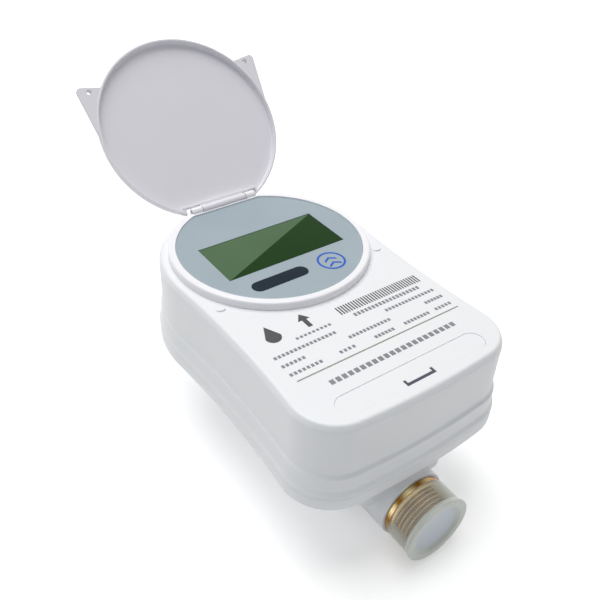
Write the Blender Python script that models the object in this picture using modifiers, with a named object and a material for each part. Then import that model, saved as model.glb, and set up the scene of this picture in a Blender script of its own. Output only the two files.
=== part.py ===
"""Ultrasonic water meter with a round flip lid, modelled sub-part by sub-part.

Metres, +Z up. The origin is on the flat base, halfway along the flow tube. +Y points to the
lid's hinge, -Y to the pipe end that shows in front, and +X to the right as the display is read.
"""
import math

import bmesh
import bpy
from mathutils import Matrix, Vector

# Clearances
GAP = 0.0003
RUN_GAP = 0.00008

# Heights above the flat base
AXIS_Z = 0.0170
SKIRT_Z = 0.0386
SPLIT_Z = 0.0460
LEDGE_Z = 0.0554
DECK_Z = 0.0805
PANEL_RISE = 0.0029
BEZEL_RISE = 0.0006

# Housing plan
REAR_RADIUS = 0.0476
FRONT_HALF_WIDTH = 0.0472
CORNER_RADIUS = 0.0180
WAIST_RADIUS = 0.473
FRONT_BOW_RADIUS = 0.35
WALL = 0.0024
TOP_ROUND = 0.0022
LEDGE_STEP = 0.0009
LEDGE_RUN = 0.0018
FLARE = 0.0022
FLARE_START = 0.0034
FLARE_RUN = 0.0018
FLARE_EDGE = 0.0009
SKIRT_ROUND = 0.0030
INNER_ROUND = 0.0009
TONGUE = 0.0018
TONGUE_RISE = 0.0022
TONGUE_ROOT = 0.0014
GASKET_HEIGHT = 0.0012

# Belly of the lower housing
BASE_HALF_WIDTH = 0.0160
BELLY_HALF_WIDTH = 0.0220
BELLY_RAKE = 0.0200
COLLAR_PROUD = 0.0054
BELLY_SHOULDER_Z = 0.0230
BASE_EDGE = 0.0012
BELLY_ROUND = 0.0060

# Flow tube, its rings and caps
PIPE_LENGTH = 0.1750
BODY_RADIUS = 0.0130
BORE_RADIUS = 0.0090
THREAD_RADIUS = 0.01322
THREAD_DEPTH = 0.00116
THREAD_PITCH = 0.001814
THREAD_LEAD = 0.0004
BORE_CHAMFER = 0.0006
COLLAR_RADIUS = 0.0152
END_REACH = 0.0121
RING_LENGTH = 0.0019
RING_RADIUS = 0.0140
CAP_SLEEVE = 0.0009
CAP_END = 0.0011
CAP_RIM_RADIUS = 0.0152
CAP_RECESS = 0.0020
CAP_RIM_WIDTH = 0.0011
CAP_RIM_FALL = 0.0009

# Ultrasonic measuring parts
SENSOR_SETBACK = 0.0200
SENSOR_RADIUS = 0.0060
SENSOR_FLANGE = 0.0018
SENSOR_CAP_HEIGHT = 0.0040
SENSOR_CAP_RADIUS = 0.0047
FLAT_HEIGHT = 0.0115
FLAT_MARGIN = 0.0035
SEAL_WIRE = 0.0007
CLAMP_SHEET = 0.0012
CLAMP_HALF_WIDTH = 0.0054
CLAMP_MARGIN = 0.0030
CLAMP_SCREW_OFFSET = 0.0125
CLAMP_SCREW_RADIUS = 0.0012
CLAMP_HEAD_RADIUS = 0.0023
CLAMP_HEAD = 0.0014
CLAMP_HEAD_EDGE = 0.0004
CLAMP_SCREW_LENGTH = 0.0031
INSERT_HALF_LENGTH = 0.0220
INSERT_BORE = 0.0055
INSERT_LIP = 0.0008
INSERT_TAPER = 0.0060
BAND_HALF_LENGTH = 0.0030
BAND_SHEET = 0.0009
MIRROR_SHEET = 0.0012
MIRROR_HALF_WIDTH = 0.0042
MIRROR_BITE = 0.0005
STRAINER_LENGTH = 0.0060
STRAINER_SETBACK = 0.0020
STRAINER_SHEET = 0.0010
STRAINER_HOLE = 0.0018
STRAINER_PITCH = 0.0052

# Display
PANEL_RADIUS = 0.0400
PANEL_THICKNESS = 0.0016
PANEL_CHORD = 0.0360
BEZEL_RADIUS = 0.0434
SPIGOT_RADIUS = 0.0412
BEZEL_EDGE = 0.0006
LAND_HALF_WIDTH = 0.0185
LAND_DROP = 0.0010
LCD_WIDTH = 0.0578
LCD_HEIGHT = 0.0262
LCD_OFFSET = -0.0018
LCD_DEPTH = 0.0062
PORT_X = -0.0108
PORT_Y = -0.0243
PORT_LENGTH = 0.0286
PORT_WIDTH = 0.0070
KEY_X = 0.0144
KEY_Y = -0.0250
SUNK = 0.0002
CARRIER_THICKNESS = 0.0020
SPIGOT_WALL = 0.0026
POST_RADIUS = 0.0024
POST_LENGTH = 0.0031
POST_X = 0.0260
POST_Y = 0.0190
BOARD_WIDTH = 0.0620
BOARD_LENGTH = 0.0480
BOARD_THICKNESS = 0.0016
ANTENNA_SIZE = (0.0240, 0.0060, 0.0012)
ANTENNA_MARGIN = 0.0015
SPRING_RADIUS = 0.0042
SPRING_WIRE = 0.0004
SPRING_TURNS = 3
SPRING_TAPER = 0.25

# Lid and hinge
LID_RADIUS = 0.0434
LID_HEIGHT = 0.0040
LID_SHEET = 0.0018
LID_ROUND = 0.0012
LID_OPEN_DEGREES = 134.0
HINGE_SETBACK = 0.0391
BARREL_RADIUS = 0.0019
BARREL_HALF = 0.0114
LUG_WIDTH = 0.0050
LUG_MARGIN = 0.0001
TONGUE_SHEET = 0.0012
TONGUE_BITE = 0.0012
PIN_RADIUS = 0.0010
PIN_SETBACK = 0.0004
EAR_HOLE = (0.0402, -0.0254)
EAR_HOLE_RADIUS = 0.0014
EAR_TIP = (0.0456, -0.0282)
EAR_FOOT = (0.0345, -0.0262)
EAR_SHOULDER = -0.0030
EAR_SHEET = 0.0018
EAR_NOSE = 0.0012
EAR_ROOT = (0.0030, 0.0040)
SEAL_POCKET_RADIUS = 0.0032
SEAL_POCKET_DEGREES = 10.0

# Service pocket and cover
COVER_LENGTH = 0.0680
COVER_WIDTH = 0.0088
COVER_SHEET = 0.0018
COVER_FROM_FRONT = 0.0108
COVER_SHELF = 0.0012
POCKET_DEPTH = 0.0085
LATCH_WIDTH = 0.0136
LATCH_SLOT = 0.0008
LATCH_LENGTH = 0.0027
CATCH_DROP = 0.0012
CATCH_SHEET = 0.0009
POCKET_WALL = 0.0016
SOCKET_SIZE = (0.0140, 0.0036, 0.0026)
SOCKET_WALL = 0.0008

# Battery
BATTERY_RADIUS = 0.0129
BATTERY_LENGTH = 0.0500
BATTERY_SETBACK = 0.0374
BATTERY_TERMINAL = (0.0028, 0.0012)
BATTERY_EDGE = 0.0010
CRADLE_SIZE = (0.0620, 0.0220, 0.0020)
CRADLE_RIB = 0.0020
CRADLE_RIB_X = 0.0160
CRADLE_LIFT = 0.0015

# Housing screws
SCREW_REAR_DEGREES = 31.0
SCREW_FRONT_SETBACK = 0.0274
SCREW_RADIUS = 0.00135
SCREW_HEAD_RADIUS = 0.0030
SCREW_HEAD = 0.0020
SCREW_HEAD_EDGE = 0.0008
SCREW_LENGTH = 0.0200
BOSS_RADIUS = 0.0037
BOSS_BITE = 0.0005
PAD_MARGIN = 0.0010
PAD_TOP = 0.0017
SLEEVE_RADIUS = 0.0030
SCREW_TIP = 0.0008
SCREW_DRIVE = 0.0011
COUNTERBORE = 0.0038

# Facets
BEZEL_ROUND = 48
ROUND = 32
TUBE_ROUND = 24
PIN_ROUND = 16
SMALL_ROUND = 12
TINY_ROUND = 8

# Values that follow from the sizes above
TUBE_END = PIPE_LENGTH / 2
COLLAR_REACH = TUBE_END - END_REACH
HOUSING_LENGTH = 2 * COLLAR_REACH
BELLY_HALF_LENGTH = COLLAR_REACH - COLLAR_PROUD
BASE_HALF_LENGTH = BELLY_HALF_LENGTH - BELLY_RAKE
SENSOR_Y = BASE_HALF_LENGTH - SENSOR_SETBACK
THREAD_TURNS = int((END_REACH - RING_LENGTH - 2 * GAP - THREAD_LEAD) / THREAD_PITCH)
BATTERY_Y = BATTERY_SETBACK - HOUSING_LENGTH / 2
PANEL_Y = HOUSING_LENGTH / 2 - REAR_RADIUS
PANEL_Z = DECK_Z + PANEL_RISE
BEZEL_Z = PANEL_Z + BEZEL_RISE
SEAT_Z = PANEL_Z - PANEL_THICKNESS - GAP
CEILING_Z = DECK_Z - WALL
FLOOR_Z = SKIRT_Z + WALL
TONGUE_Z = SPLIT_Z + TONGUE_RISE
REBATE_Z = TONGUE_Z + GASKET_HEIGHT + 2 * GAP
COLLAR_BORE = THREAD_RADIUS + GAP
RING_START = COLLAR_REACH + GAP
THREAD_START = RING_START + RING_LENGTH + GAP
CAP_BORE = THREAD_RADIUS + 1.2 * GAP
CARRIER_Z = PANEL_Z - SUNK - LCD_DEPTH - GAP
CARRIER_RADIUS = SPIGOT_RADIUS - SPIGOT_WALL - GAP
BOARD_TOP = CARRIER_Z - CARRIER_THICKNESS - POST_LENGTH - GAP
HINGE_Y = PANEL_Y + HINGE_SETBACK
HINGE_Z = BEZEL_Z
LID_Z = BEZEL_Z + GAP
COVER_Y = -HOUSING_LENGTH / 2 + COVER_FROM_FRONT
COVER_TOP = DECK_Z - SUNK / 2
POCKET_Z = DECK_Z - POCKET_DEPTH
BATTERY_Z = FLOOR_Z + GAP + CRADLE_SIZE[2] + CRADLE_LIFT + BATTERY_RADIUS
BOSS_REACH = REAR_RADIUS - WALL - BOSS_RADIUS + BOSS_BITE
REAR_TURN = math.radians(SCREW_REAR_DEGREES)
SCREW_REAR = (BOSS_REACH * math.cos(REAR_TURN), PANEL_Y + BOSS_REACH * math.sin(REAR_TURN))
SCREW_FRONT = (FRONT_HALF_WIDTH - WALL - 1.5 * BOSS_RADIUS, SCREW_FRONT_SETBACK - HOUSING_LENGTH / 2)
SCREW_SPOTS = [(side * x, y) for x, y in (SCREW_REAR, SCREW_FRONT) for side in (-1, 1)]
SCREW_TOP = SKIRT_Z + COUNTERBORE + SCREW_LENGTH


def clear_scene():
    """Remove every object that the file opened with."""
    for item in list(bpy.data.objects):
        bpy.data.objects.remove(item, do_unlink=True)


clear_scene()
PARTS = bpy.data.collections.new("water_meter")
CUTTERS = bpy.data.collections.new("cutters")
bpy.context.scene.collection.children.link(PARTS)
bpy.context.scene.collection.children.link(CUTTERS)


def linear(code):
    """Turn a hex colour into linear red, green and blue."""
    values = [int(code[i:i + 2], 16) / 255 for i in (0, 2, 4)]
    return [v / 12.92 if v <= 0.04045 else ((v + 0.055) / 1.055) ** 2.4 for v in values]


def principled(name, code, roughness, metallic=0.0, alpha=1.0):
    """Make a material from a hex colour."""
    made = bpy.data.materials.new(name)
    made.use_nodes = True
    shader = made.node_tree.nodes["Principled BSDF"]
    shader.inputs["Base Color"].default_value = (*linear(code), 1.0)
    shader.inputs["Roughness"].default_value = roughness
    shader.inputs["Metallic"].default_value = metallic
    shader.inputs["Alpha"].default_value = alpha
    return made


WHITE_ABS = principled("white_abs", "f2f2f4", 0.35)
PALE_ABS = principled("pale_abs", "d9d9de", 0.45)
GREY_FILM = principled("printed_film", "a7b4bb", 0.30)
GREEN_GLASS = principled("display_glass", "3f6340", 0.12)
DARK_ACRYLIC = principled("infrared_acrylic", "1f2b3a", 0.15)
BRASS = principled("machined_brass", "c9a04a", 0.25, metallic=1.0)
STEEL = principled("stainless_steel", "b9bcc0", 0.30, metallic=1.0)
MILKY_PE = principled("milky_polyethylene", "c3c8c2", 0.40, alpha=0.55)
BLACK_RUBBER = principled("epdm_rubber", "1b1b1c", 0.75)
BLACK_NYLON = principled("black_nylon", "2a2b2d", 0.55)
GREEN_BOARD = principled("circuit_laminate", "1f5a35", 0.50)
CELL_SLEEVE = principled("battery_sleeve", "3b6fb0", 0.40)


def place(item, material, sharp_degrees=32):
    """Put a finished object in the part's collection with its material and shading."""
    for owner in list(item.users_collection):
        owner.objects.unlink(item)
    PARTS.objects.link(item)
    item.data.materials.clear()
    item.data.materials.append(material)
    item.data.shade_smooth()
    item.data.set_sharp_from_angle(angle=math.radians(sharp_degrees))
    return item


def as_object(name, bm):
    """Turn a bmesh into an object in the scene, with its faces pointing out."""
    bmesh.ops.recalc_face_normals(bm, faces=bm.faces)
    mesh = bpy.data.meshes.new(name)
    bm.to_mesh(mesh)
    bm.free()
    item = bpy.data.objects.new(name, mesh)
    PARTS.objects.link(item)
    return item


def combine(target, other, operation="DIFFERENCE"):
    """Cut, join or intersect the target with another object, which becomes a cutter."""
    for owner in list(other.users_collection):
        owner.objects.unlink(other)
    CUTTERS.objects.link(other)
    other.hide_render = True
    other.display_type = "WIRE"
    step = target.modifiers.new(other.name, "BOOLEAN")
    step.operation = operation
    step.solver = "EXACT"
    step.object = other
    return target


def block(name, low, high):
    """Make a box between two corners."""
    low, high = Vector(low), Vector(high)
    bm = bmesh.new()
    place_at = Matrix.Translation((low + high) / 2) @ Matrix.Diagonal((*(high - low), 1.0))
    bmesh.ops.create_cube(bm, size=1.0, matrix=place_at)
    return as_object(name, bm)


def drum(name, radius, start, end, segments=SMALL_ROUND):
    """Make a solid cylinder between two points on its axis."""
    start, end = Vector(start), Vector(end)
    along = end - start
    turn = along.to_track_quat("Z", "Y").to_matrix().to_4x4()
    bm = bmesh.new()
    bmesh.ops.create_cone(bm, cap_ends=True, segments=segments, radius1=radius, radius2=radius,
                          depth=along.length, matrix=Matrix.Translation((start + end) / 2) @ turn)
    return as_object(name, bm)


def turned(name, profile, location, tilt_degrees=0.0, segments=ROUND):
    """Revolve a profile of (radius, height) about its own Z axis with a Screw modifier.

    The profile runs down its outer side; one that reaches the axis at both ends is left open.
    """
    closed = profile[0][0] > 0 or profile[-1][0] > 0
    mesh = bpy.data.meshes.new(name)
    count = len(profile)
    edges = [(i, i + 1) for i in range(count - 1)]
    if closed:
        edges.append((count - 1, 0))
    mesh.from_pydata([(radius, 0.0, height) for radius, height in profile], edges, [])
    item = bpy.data.objects.new(name, mesh)
    PARTS.objects.link(item)
    item.location = location
    item.rotation_euler = (math.radians(tilt_degrees), 0.0, 0.0)
    screw = item.modifiers.new("revolve", "SCREW")
    screw.axis = "Z"
    screw.steps = segments
    screw.render_steps = segments
    screw.use_merge_vertices = True
    screw.merge_threshold = 0.00001
    screw.use_smooth_shade = True
    return item


def plate(name, loops, low, high):
    """Extrude a flat outline with holes, drawn as a filled 2D curve, between two heights."""
    curve = bpy.data.curves.new(name, "CURVE")
    curve.dimensions = "2D"
    curve.fill_mode = "BOTH"
    curve.extrude = (high - low) / 2
    for loop in loops:
        spline = curve.splines.new("POLY")
        spline.points.add(len(loop) - 1)
        for point, (x, y) in zip(spline.points, loop):
            point.co = (x, y, 0.0, 1.0)
        spline.use_cyclic_u = True
    outline = bpy.data.objects.new(name, curve)
    PARTS.objects.link(outline)
    outline.location = (0.0, 0.0, (low + high) / 2)
    return curve_to_mesh(outline)


def curve_to_mesh(outline):
    """Replace a curve object by a welded mesh object at the same place."""
    name = outline.name
    bpy.context.view_layer.update()
    evaluated = outline.evaluated_get(bpy.context.evaluated_depsgraph_get())
    mesh = bpy.data.meshes.new_from_object(evaluated)
    matrix = outline.matrix_world.copy()
    bpy.data.objects.remove(outline, do_unlink=True)
    bm = bmesh.new()
    bm.from_mesh(mesh)
    bmesh.ops.remove_doubles(bm, verts=bm.verts, dist=0.000001)
    item = as_object(name, bm)
    item.matrix_world = matrix
    bpy.data.meshes.remove(mesh)
    return item


def loft(name, rings, ring_shaped=False):
    """Skin a row of like-numbered loops, capped at both ends or closed on itself."""
    bm = bmesh.new()
    rows = [[bm.verts.new(point) for point in ring] for ring in rings]
    pairs = list(zip(rows, rows[1:]))
    if ring_shaped:
        pairs.append((rows[-1], rows[0]))
    else:
        bm.faces.new(rows[0])
        bm.faces.new(rows[-1])
    for row, following in pairs:
        for i in range(len(row)):
            j = (i + 1) % len(row)
            bm.faces.new((row[i], row[j], following[j], following[i]))
    return as_object(name, bm)


def level(outline, height):
    """Lift a plan outline to a height."""
    return [(x, y, height) for x, y in outline]


def arc(centre, radius, start, end, steps):
    """Points along an arc, angles in radians, both ends included."""
    turn = [start + (end - start) * i / steps for i in range(steps + 1)]
    return [(centre[0] + radius * math.cos(a), centre[1] + radius * math.sin(a)) for a in turn]


def circle(centre, radius, steps=ROUND):
    """Points round a full circle."""
    return arc(centre, radius, 0.0, 2 * math.pi * (steps - 1) / steps, steps - 1)


def stadium(centre, length, width, steps=8):
    """A slot outline with round ends, its long side along X."""
    half, radius = (length - width) / 2, width / 2
    right = arc((centre[0] + half, centre[1]), radius, -math.pi / 2, math.pi / 2, steps)
    left = arc((centre[0] - half, centre[1]), radius, math.pi / 2, 1.5 * math.pi, steps)
    return right + left


def rounded_rectangle(half_x, half_y, radius, steps=4):
    """A rectangle about the origin with round corners."""
    points = []
    for corner, (sx, sy) in enumerate(((1, 1), (-1, 1), (-1, -1), (1, -1))):
        centre = (sx * (half_x - radius), sy * (half_y - radius))
        start = corner * math.pi / 2
        points += arc(centre, radius, start, start + math.pi / 2, steps)
    return points


def angle_to(start, end):
    """The direction from one point to another, in radians."""
    return math.atan2(end[1] - start[1], end[0] - start[0])


def circle_meeting(first, first_reach, second, second_reach):
    """The point at given distances from two points, on the side of +X."""
    span = math.dist(first, second)
    along = (first_reach ** 2 - second_reach ** 2 + span ** 2) / (2 * span)
    across = math.sqrt(first_reach ** 2 - along ** 2)
    ux, uy = (second[0] - first[0]) / span, (second[1] - first[1]) / span
    base = (first[0] + ux * along, first[1] + uy * along)
    choices = [(base[0] + s * uy * across, base[1] - s * ux * across) for s in (-1, 1)]
    return max(choices)


def plan_outline(grow=0.0):
    """The housing's hourglass plan, made of tangent arcs and offset outward by grow.

    The rear arc is concentric with the display, the waist arcs are hollow, and the front is
    a shallow bow between two round corners.
    """
    rear = (0.0, PANEL_Y)
    bow = (0.0, FRONT_BOW_RADIUS - HOUSING_LENGTH / 2)
    corner_x = FRONT_HALF_WIDTH - CORNER_RADIUS
    reach = FRONT_BOW_RADIUS - CORNER_RADIUS
    corner = (corner_x, bow[1] - math.sqrt(reach ** 2 - corner_x ** 2))
    waist = circle_meeting(rear, REAR_RADIUS + WAIST_RADIUS, corner, CORNER_RADIUS + WAIST_RADIUS)
    rear_end = angle_to(rear, waist)
    corner_start = angle_to(corner, waist)
    corner_end = angle_to(bow, corner)
    right = arc(rear, REAR_RADIUS + grow, math.pi / 2, rear_end, 11)
    hollow_start = angle_to(waist, rear) % (2 * math.pi)
    hollow_end = angle_to(waist, corner) % (2 * math.pi)
    right += arc(waist, WAIST_RADIUS - grow, hollow_start, hollow_end, 3)[1:]
    right += arc(corner, CORNER_RADIUS + grow, corner_start, corner_end, 5)[1:]
    right += arc(bow, FRONT_BOW_RADIUS + grow, corner_end, -math.pi / 2, 2)[1:]
    left = [(-x, y) for x, y in reversed(right[1:-1])]
    return list(reversed(right + left))


def wall_section(pairs):
    """Loft rings of the housing plan from pairs of offset and height."""
    return [level(plan_outline(grow), height) for grow, height in pairs]


def quarter_round(radius, steps=3):
    """Offset and height of a quarter round, from its flat end to its upright end."""
    angles = [math.pi / 2 * i / steps for i in range(steps + 1)]
    return [(radius * math.sin(a) - radius, radius * math.cos(a) - radius) for a in angles]


def make_upper_housing():
    """White moulded cover: deck, upright wall, two ledges, screw bosses and service pocket."""
    pairs = [(grow, DECK_Z + fall) for grow, fall in quarter_round(TOP_ROUND)]
    pairs += [(0.0, LEDGE_Z + LEDGE_RUN), (LEDGE_STEP / 3, LEDGE_Z + LEDGE_RUN / 2)]
    pairs += [(LEDGE_STEP, LEDGE_Z), (LEDGE_STEP, SPLIT_Z + FLARE_START)]
    pairs += [(FLARE - GAP, SPLIT_Z + FLARE_START - FLARE_RUN), (FLARE, SPLIT_Z + FLARE_EDGE)]
    pairs += [(FLARE, SPLIT_Z + GAP / 2)]
    pairs += [(-GAP / 2, SPLIT_Z + GAP / 2), (-GAP / 2, REBATE_Z), (-WALL, REBATE_Z)]
    pairs += [(-WALL, CEILING_Z - INNER_ROUND), (-WALL - INNER_ROUND, CEILING_Z)]
    shell = loft("upper_housing", wall_section(pairs))
    for number, (x, y) in enumerate(SCREW_SPOTS):
        top = SCREW_TOP + 2 * WALL if y > 0 else DECK_Z - WALL / 2
        combine(shell, drum(f"boss_{number}", BOSS_RADIUS, (x, y, REBATE_Z), (x, y, top)), "UNION")
        combine(shell, drum(f"pilot_{number}", SCREW_RADIUS + GAP / 2, (x, y, REBATE_Z - WALL),
                            (x, y, SCREW_TOP + WALL / 2), TINY_ROUND))
    length, width = COVER_LENGTH + 2 * GAP, COVER_WIDTH + 2 * GAP
    middle = (0.0, COVER_Y)
    well = stadium(middle, length + 2 * POCKET_WALL, width + 2 * POCKET_WALL)
    combine(shell, plate("pocket_wall", [well], POCKET_Z - POCKET_WALL, DECK_Z - WALL / 2), "UNION")
    shelf = COVER_TOP - COVER_SHEET - GAP
    combine(shell, plate("cover_recess", [stadium(middle, length, width)], shelf, DECK_Z + WALL))
    inner = stadium(middle, length - 2 * COVER_SHELF, width - 2 * COVER_SHELF)
    combine(shell, plate("pocket_hollow", [inner], POCKET_Z, DECK_Z))
    hole = SPIGOT_RADIUS + GAP
    combine(shell, drum("display_hole", hole, (0, PANEL_Y, CEILING_Z - WALL),
                        (0, PANEL_Y, DECK_Z + WALL), ROUND))
    for side in (-1, 1):
        spot = Vector((side * EAR_HOLE[0], PANEL_Y + EAR_HOLE[1], DECK_Z))
        lean = Matrix.Rotation(math.radians(-SEAL_POCKET_DEGREES), 3, "X") @ Vector((0.0, 0.0, 1.0))
        combine(shell, drum(f"seal_pocket_{side}", SEAL_POCKET_RADIUS, spot, spot + lean * WALL))
    return place(shell, WHITE_ABS)


def make_lower_housing():
    """White moulded tray with a tongue for the joint, a belly round the tube and two collars."""
    pairs = [(grow + FLARE, SKIRT_Z - fall) for grow, fall in quarter_round(SKIRT_ROUND, 2)]
    pairs += [(FLARE, SPLIT_Z - GAP / 2), (-GAP / 2 - GAP, SPLIT_Z - GAP / 2)]
    pairs += [(-GAP / 2 - GAP, TONGUE_Z), (-GAP / 2 - GAP - TONGUE, TONGUE_Z)]
    pairs += [(-GAP / 2 - GAP - TONGUE, SPLIT_Z - TONGUE_ROOT)]
    pairs += [(FLARE - WALL, SPLIT_Z - 2 * TONGUE_ROOT), (FLARE - WALL, FLOOR_Z + INNER_ROUND)]
    pairs += [(FLARE - WALL - INNER_ROUND, FLOOR_Z)]
    shell = loft("lower_housing", wall_section(pairs))
    combine(shell, loft("belly", belly_rings(0.0, FLOOR_Z - WALL / 2)), "UNION")
    axis_start = BASE_HALF_LENGTH + WALL
    for side in (-1, 1):
        start, end = (0, side * axis_start, AXIS_Z), (0, side * COLLAR_REACH, AXIS_Z)
        combine(shell, drum(f"collar_{side}", COLLAR_RADIUS, start, end, ROUND), "UNION")
    for number, (x, y) in enumerate(SCREW_SPOTS):
        low, high = FLOOR_Z - WALL / 2, SKIRT_Z + COUNTERBORE + PAD_TOP
        combine(shell, drum(f"pad_{number}", BOSS_RADIUS + PAD_MARGIN, (x, y, low), (x, y, high)), "UNION")
        combine(shell, drum(f"sleeve_{number}", SLEEVE_RADIUS, (x, y, low), (x, y, REBATE_Z - GAP)),
                "UNION")
    combine(shell, loft("belly_hollow", belly_rings(WALL, FLOOR_Z + WALL)))
    combine(shell, drum("tube_bore", COLLAR_BORE, (0, -COLLAR_REACH - WALL, AXIS_Z),
                        (0, COLLAR_REACH + WALL, AXIS_Z), ROUND))
    for number, (x, y) in enumerate(SCREW_SPOTS):
        head = SKIRT_Z + COUNTERBORE
        combine(shell, drum(f"counterbore_{number}", SCREW_HEAD_RADIUS + GAP, (x, y, SKIRT_Z - WALL),
                            (x, y, head), TINY_ROUND))
        combine(shell, drum(f"clearance_{number}", SCREW_RADIUS + 2 * GAP, (x, y, head - GAP),
                            (x, y, REBATE_Z + WALL), TINY_ROUND))
    return place(shell, WHITE_ABS)


def belly_rings(inset, top):
    """Rounded rectangles of the belly, wide at its shoulder and narrow at the flat base."""
    slope = inset * 1.4
    edge = BASE_EDGE if inset == 0.0 else 0.0
    low = (BASE_HALF_WIDTH - inset, BASE_HALF_LENGTH - slope, BELLY_ROUND - inset / 2)
    high = (BELLY_HALF_WIDTH - inset, BELLY_HALF_LENGTH - slope, BELLY_ROUND - inset / 2)
    rings = [level(rounded_rectangle(*low), inset + edge)]
    if edge:
        foot = (low[0] - edge, low[1] - edge, low[2] - edge)
        rings.insert(0, level(rounded_rectangle(*foot), 0.0))
    rings += [level(rounded_rectangle(*high), height) for height in (BELLY_SHOULDER_Z, top)]
    return rings


def make_housing_gasket():
    """Moulded rubber frame on top of the tongue."""
    outer = -GAP / 2 - 2 * GAP
    inner = outer - TONGUE + GAP
    low, high = TONGUE_Z + GAP, REBATE_Z - GAP
    pairs = [(outer, low), (outer, high), (inner, high), (inner, low)]
    return place(loft("housing_gasket", wall_section(pairs), ring_shaped=True), BLACK_RUBBER)


def make_housing_screws():
    """Four screws driven up from below."""
    for number, (x, y) in enumerate(SCREW_SPOTS, start=1):
        top = SCREW_LENGTH
        edge = SCREW_HEAD_EDGE
        profile = [(0.0, top), (SCREW_RADIUS - GAP, top), (SCREW_RADIUS, top - SCREW_TIP),
                   (SCREW_RADIUS, 0.0), (SCREW_HEAD_RADIUS, 0.0), (SCREW_HEAD_RADIUS, edge - SCREW_HEAD),
                   (SCREW_HEAD_RADIUS - edge, -SCREW_HEAD), (SCREW_DRIVE, -SCREW_HEAD),
                   (SCREW_DRIVE, SCREW_DRIVE - SCREW_HEAD), (0.0, SCREW_DRIVE - SCREW_HEAD)]
        spot = (x, y, SKIRT_Z + COUNTERBORE - GAP)
        place(turned(f"housing_screw_{number}", profile, spot, segments=TINY_ROUND), STEEL)


def make_flow_tube():
    """Brass measuring tube: turned body, threaded ends, sensor flats, pockets and tapped holes."""
    crest, root = THREAD_RADIUS, THREAD_RADIUS - THREAD_DEPTH
    half = THREAD_PITCH / 2
    end = TUBE_END
    last = end - THREAD_LEAD
    outer = [(root - GAP, end), (root, last)]
    for turn in range(THREAD_TURNS):
        peak = last - half - turn * THREAD_PITCH
        outer += [(crest, peak), (root, peak - half)]
    outer += [(crest, outer[-1][1] - half), (crest, THREAD_START - RING_LENGTH)]
    body = [(BODY_RADIUS, RING_START - 2 * WALL), (BODY_RADIUS, -RING_START + 2 * WALL)]
    mirrored = [(radius, -height) for radius, height in reversed(outer)]
    chamfer = BORE_CHAMFER
    inner = [(BORE_RADIUS + chamfer, -end), (BORE_RADIUS, chamfer - end),
             (BORE_RADIUS, end - chamfer), (BORE_RADIUS + chamfer, end)]
    tube = turned("flow_tube", outer + body + mirrored + inner, (0, 0, AXIS_Z), -90.0, TUBE_ROUND)
    flat_z = AXIS_Z + FLAT_HEIGHT
    reach = CLAMP_SCREW_OFFSET + FLAT_MARGIN
    for side in (-1, 1):
        y = side * SENSOR_Y
        low = (-BODY_RADIUS, y - reach, flat_z)
        combine(tube, block(f"flat_{side}", low, (BODY_RADIUS, y + reach, flat_z + BODY_RADIUS)))
        combine(tube, drum(f"pocket_{side}", SENSOR_RADIUS + GAP, (0, y, AXIS_Z),
                           (0, y, flat_z + WALL)))
        for step in (-1, 1):
            spot = y + step * CLAMP_SCREW_OFFSET
            combine(tube, drum(f"tapping_{side}_{step}", CLAMP_SCREW_RADIUS + GAP / 2,
                               (0, spot, flat_z + CLAMP_SHEET - CLAMP_SCREW_LENGTH),
                               (0, spot, flat_z + WALL), TINY_ROUND))
    return place(tube, BRASS)


def make_end_fittings():
    """A brass retaining ring and a push-on thread cap at each end."""
    ring_end = RING_START + RING_LENGTH
    ring = [(COLLAR_BORE, ring_end), (RING_RADIUS - GAP, ring_end), (RING_RADIUS, ring_end - GAP),
            (RING_RADIUS, RING_START), (COLLAR_BORE, RING_START)]
    sleeve = CAP_BORE + CAP_SLEEVE
    wall_in = TUBE_END + GAP
    wall_out = wall_in + CAP_END
    rim = wall_out + CAP_RECESS
    neck = rim - CAP_RIM_WIDTH - CAP_RIM_FALL
    cap = [(0.0, wall_out), (CAP_BORE, wall_out), (CAP_BORE + 2 * GAP, rim), (CAP_RIM_RADIUS - GAP, rim),
           (CAP_RIM_RADIUS, rim - GAP), (CAP_RIM_RADIUS, rim - CAP_RIM_WIDTH),
           (sleeve + GAP, neck), (sleeve, neck - CAP_RIM_FALL), (sleeve, THREAD_START),
           (CAP_BORE, THREAD_START), (CAP_BORE, wall_in), (0.0, wall_in)]
    for place_name, tilt in (("front", 90.0), ("rear", -90.0)):
        middle = (0, 0, AXIS_Z)
        place(turned(f"retaining_ring_{place_name}", ring, middle, tilt, TUBE_ROUND), BRASS)
        place(turned(f"thread_cap_{place_name}", cap, middle, tilt, TUBE_ROUND), MILKY_PE)


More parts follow.
